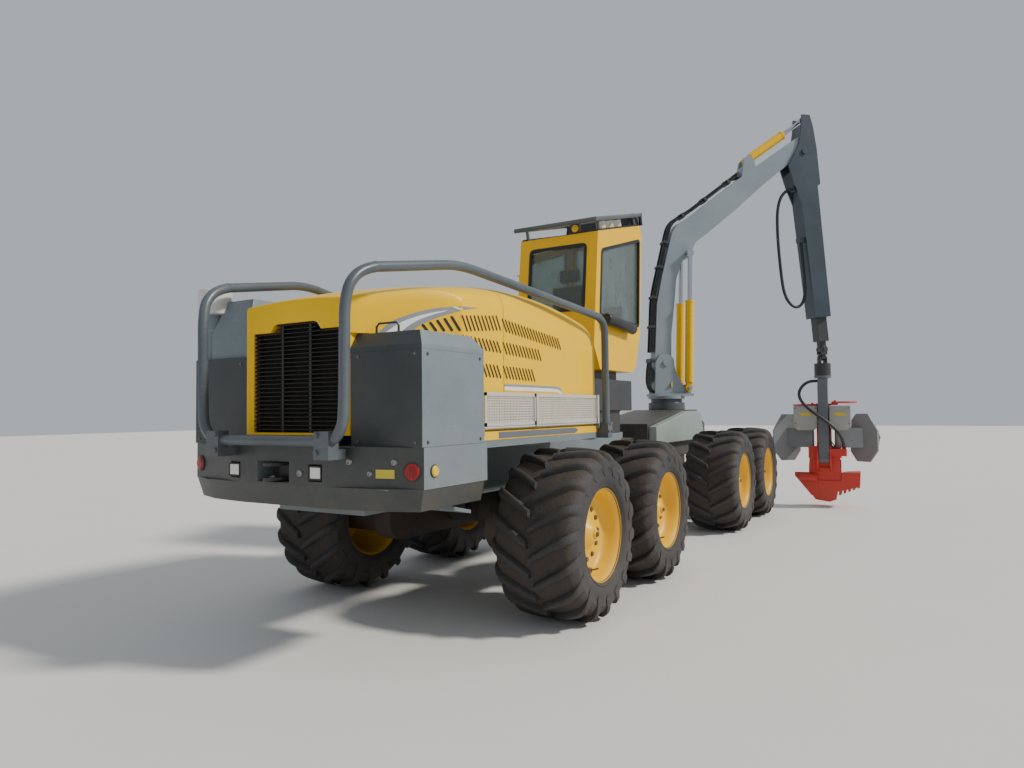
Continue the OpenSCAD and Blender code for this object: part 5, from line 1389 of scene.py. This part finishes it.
crane = {
    # line outside the boom's back edge, reach and height; the lines lie side by side
    "back": [(-0.243, 2.5), (-0.214, 3.0), (-0.2, 3.26), (-0.16, 3.5), (-0.103, 3.74), (-0.05, 3.95),
             (0.004, 4.17), (0.06, 4.4), (0.1, 4.5), (0.18, 4.585), (0.46, 4.765), (0.85, 5.06),
             (1.27, 5.375)],
    # each line: place across, diameter, metal or rubber, height above the first layer
    "lineStep": 0.05,
    "lines": [(-0.085, 0.028, 0, 0.0), (-0.05, 0.022, 1, 0.0), (-0.018, 0.022, 1, 0.0),
              (0.02, 0.03, 0, 0.0), (0.062, 0.026, 0, 0.0), (-0.07, 0.026, 0, 0.03),
              (-0.034, 0.024, 0, 0.027), (0.04, 0.028, 0, 0.032)],
    # clips: reach, height, lean in degrees; their section across and up; their bolts across
    "clips": [(-0.218, 2.9, 87), (-0.185, 3.36, 80), (-0.078, 3.84, 76), (0.018, 4.23, 76), (0.3, 4.66, 33),
              (0.68, 4.93, 37), (1.08, 5.23, 37)],
    "clip": [(-0.105, -0.03), (0.09, -0.03), (0.09, 0.052), (-0.105, 0.052)], "clipHalf": 0.02,
    "clipBolts": (-0.058, 0.012, 0.05), "clipBolt": 0.014,
    "unions": ((1.22, -0.1, 5.32), (1.27, 0.1, 5.4)),   # block beside the boom's crown where the lines end
    # lines on the foot, from the slewing table up to the boom's pin: across, diameter
    "footLines": [(-0.08, 0.028), (-0.04, 0.024), (0.0, 0.024), (0.045, 0.028)],
    # their route: reach, share of the place across, height
    "footRoute": [(-0.1, 1, 1.862), (-0.25, 1, 1.9), (-0.305, 1, 2.02), (-0.3, 1.1, 2.2),
                  (-0.275, 1.1, 2.36)], "footStep": 0.03,
    "footUnions": [((-0.3, -0.11, 2.34), (-0.25, 0.08, 2.4)), ((-0.16, -0.11, 1.851), (-0.06, 0.08, 1.9))],
    "dot": [(0.045, 0.0), (0.045, 0.002), (0.001, 0.0025)], "dotPlace": (0.04, -0.1455, 1.985),
}


def clipShells(x, z, lean):
    c, s = turned(1.0, 0.0, lean)
    along, off, middle = np.array([c, 0, s]), np.array([-s, 0, c]), np.array([x, 0.0, z])
    across = np.array([off * h + (0, y, 0) for y, h in crane["clip"]])
    half = along * crane["clipHalf"]
    shells = [loft(onCrane(np.stack([middle - half + across, middle + half + across])))]
    top, way = middle + off * crane["clip"][-1][1], onCrane(off) - onCrane((0, 0, 0))
    for y in crane["clipBolts"]:
        shells += bolt(onCrane(top + (0, y, 0)), way, crane["clipBolt"])
    return shells


def buildBoomLines():
    lines = [[], []]
    back = np.array(crane["back"])
    way = np.gradient(back, axis=0)
    way /= np.linalg.norm(way, axis=1)[:, None]
    off = np.stack([-way[:, 1], way[:, 0]], 1)
    for y, across, metal, rise in crane["lines"]:
        path = smoothLine(np.insert(back + off * rise, 1, y, axis=1), crane["lineStep"])
        lines[metal].append(pipe(onCrane(path), across, 12))
    clips = [shell for clip in crane["clips"] for shell in clipShells(*clip)]
    clips.append(box(*crane["unions"], onCrane))
    parts = [("hoseRubber", lines[0]), ("pipeZinc", lines[1]), ("darkSteel", clips)]
    makePiece("boomLines", "main_boom", parts, sharp=35)
    rubber = []
    for y, across in crane["footLines"]:
        route = np.array(crane["footRoute"]) * (1, y, 1)
        rubber.append(pipe(onCrane(smoothLine(route, crane["footStep"])), across, 12))
    unions = [box(*ends, onCrane) for ends in crane["footUnions"]]
    dot = [lathe(crane["dot"], onCrane(crane["dotPlace"]), (0, -1, 0), 40)]
    parts = [("hoseRubber", rubber), ("darkSteel", unions), ("plateYellow", dot)]
    makePiece("footLines", "crane_foot", parts, sharp=35)


buildBoomLines()

head = {
    "face": -0.1425, "labels": (0.27, -0.245), "label": (0.085, 1.475, 1.53), "labelThick": 0.003,
    "rivets": (0.075, (1.482, 1.523)), "rivet": [(0.005, 0.0), (0.004, 0.003), (0.001, 0.004)],
    "bolts": ((0.11, 0.42, -0.11, -0.375), (1.35, 1.6)), "bolt": 0.018, "boltFace": -0.14,
    # hose runs on the spine: places across, then the route with its own offset across
    "runs": (-0.09, -0.055), "runAcross": 0.02, "runStep": 0.03,
    "run": [(-0.06, 0, 1.62), (-0.066, 0, 1.3), (-0.066, 0, 1.1), (-0.1, -0.06, 1.0), (-0.1, -0.1, 0.945)],
}


def buildHead():
    # blank label plates with rivets, hose runs on the spine, bolts on the hoods' rims
    labels, fixings = [], []
    back = onHead((-1, 0, 0)) - onHead((0, 0, 0))
    half, low, high = head["label"]
    reach, heights = head["rivets"]
    face = head["face"]
    for y in head["labels"]:
        labels.append(box((face, y - half, low), (face + head["labelThick"], y + half, high), onHead))
        for dy in (-reach, reach):
            fixings += [lathe(head["rivet"], onHead((face, y + dy, z)), back, 10) for z in heights]
    across, heights = head["bolts"]
    for y in across:
        for z in heights:
            fixings += bolt(onHead((head["boltFace"], y, z)), back, head["bolt"])
    lines = []
    for y in head["runs"]:
        line = smoothLine(np.array(head["run"]) + (0, y, 0), head["runStep"])
        lines.append(pipe(onHead(line), head["runAcross"], 12))
    parts = [("plateYellow", labels), ("wornSteel", fixings), ("hoseRubber", lines)]
    makePiece("headLabels", "head", parts, sharp=30)


buildHead()
print("stage: crane and head")

# Steel work that keeps its CAD form, with rounded edges: paint, slot, then the nodes and their edge radii
steelWork = [
    ("greyPaint", "grey_steel", {"rear_frame": 0.005, "rear_bumper": 0.006, "rear_boxes": 0.006,
                                 "right_box_cover": 0.005, "air_stack": 0.012}),
    ("darkSteel", "dark_steel", {"tow_hitch": 0.003, "cab_base": 0.01}),
    ("cabYellow", "yellow_paint", {"cab_shell": 0.012, "cab_door": 0.008}),
    ("darkSteel", "grey_steel", {"front_frame": 0.008}),
    ("coverPaint", "grey_steel", {"front_covers": 0.012}),
    ("axlePaint", "cast_block", {"rear_axle": 0.008, "front_axle": 0.008}),
    ("shadePaint", "grey_steel", {"crane_base": 0.006}),
    ("boomPaint", "grey_steel", {"crane_foot": 0.005, "main_boom": 0.01}),
    # the stick's darker paint is a painted shade
    ("shadedStickPaint", "grey_steel", {"stick": 0.008}),
    ("darkSteel", "dark_steel", {"extension": 0.006, "hanger": 0.005, "rotator_yoke": 0.005}),
    ("slatePaint", "grey_steel", {"head_bracket": 0.008}),
    ("redPaint", "red_paint", {"head_frame": 0.006}),
    ("paleMetal", "pale_panel", {"head_hoods": 0.014}),
    ("armPaint", "grey_steel", {"left_feed_arm": 0.005, "right_feed_arm": 0.005}),
    ("redPaint", "red_paint", {"left_knife": 0.004, "right_knife": 0.004, "saw_box": 0.006}),
    ("wornSteel", "roller_steel", {"left_roller": 0.004, "right_roller": 0.004}),
    ("cabYellow", "yellow_paint", {"lift_barrels": 0.004, "stick_barrel": 0.004}),
    ("chromeRod", "rod_chrome", {"lift_rods": 0.003, "stick_rod": 0.003}),
    ("blackPlastic", "black_plastic", {"cab_controls": 0.008}),
    ("darkSteel", "cast_block", {"engine_block": 0.02}),
    ("guardPaint", "grey_steel", {"roof_guard": 0.004}),
]
# second paint: a darker grey on faces that look to the rear, a painted shade there and on the boxes partly
# their dark panel paint; on the cover's lid; on the air cleaner's bowl
twoToneAndShade = {
    # faces that look to the rear take the darker grey: painted shade
    "rear_boxes": ("darkPanelAndShade", lambda at, normal: normal.x < -0.6),
    "rear_bumper": ("darkPanelAndShade", lambda at, normal: normal.x < -0.6),
    "right_box_cover": ("darkPanelAndShade", lambda at, normal: at.z > 2.114 or normal.x < -0.6),
    "air_stack": ("whitePlastic", lambda at, normal: at.z > 2.347 and at.y > 1.53),
}
for paint, slot, nodes in steelWork:
    for node, bevel in nodes.items():
        softened(node, paint, slot, bevel, *twoToneAndShade.get(node, ()))
for node in ("cab_glass", "door_glass"):
    glass = frame["nodes"][node].data
    glass.materials.clear()
    glass.materials.append(paints["windowGlass"])
print("stage: steel work")

# Floor and light
studio = {
    "sky": (0.86, 0.92, 1.0), "skyPower": 0.55, "floor": ("D9D7D3", "DFDDD9"), "floorHalf": 60,
    "sunTurn": (52, 0, 19), "sunPower": 3.7, "sunSoftness": 6.0, "sunTint": (1.0, 0.95, 0.87),
}


def buildFloor():
    n, shader, link = newMaterial("studioFloor")
    link(n.mix(n.noise(n.place(), 0.8), *(linear(code) for code in studio["floor"])), shader["Base Color"])
    shader["Roughness"].default_value = 0.9
    h = studio["floorHalf"]
    mesh = bpy.data.meshes.new("studioFloor")
    mesh.from_pydata([(-h, -h, 0), (h, -h, 0), (h, h, 0), (-h, h, 0)], [], [(0, 1, 2, 3)])
    mesh.materials.append(paints["studioFloor"])
    floor = bpy.data.objects.new("studioFloor", mesh)
    bpy.context.scene.collection.objects.link(floor)


buildFloor()
world = bpy.data.worlds.new("studio")
bpy.context.scene.world = world
world.use_nodes = True
sky = world.node_tree.nodes["Background"].inputs
sky[0].default_value = (*studio["sky"], 1)
sky[1].default_value = studio["skyPower"]
sunData = bpy.data.lights.new("sun", "SUN")
sunData.energy = studio["sunPower"]
sunData.angle = math.radians(studio["sunSoftness"])
sunData.color = studio["sunTint"]
sun = bpy.data.objects.new("sun", sunData)
sun.rotation_euler = [math.radians(a) for a in studio["sunTurn"]]
bpy.context.scene.collection.objects.link(sun)
print("stage: light")
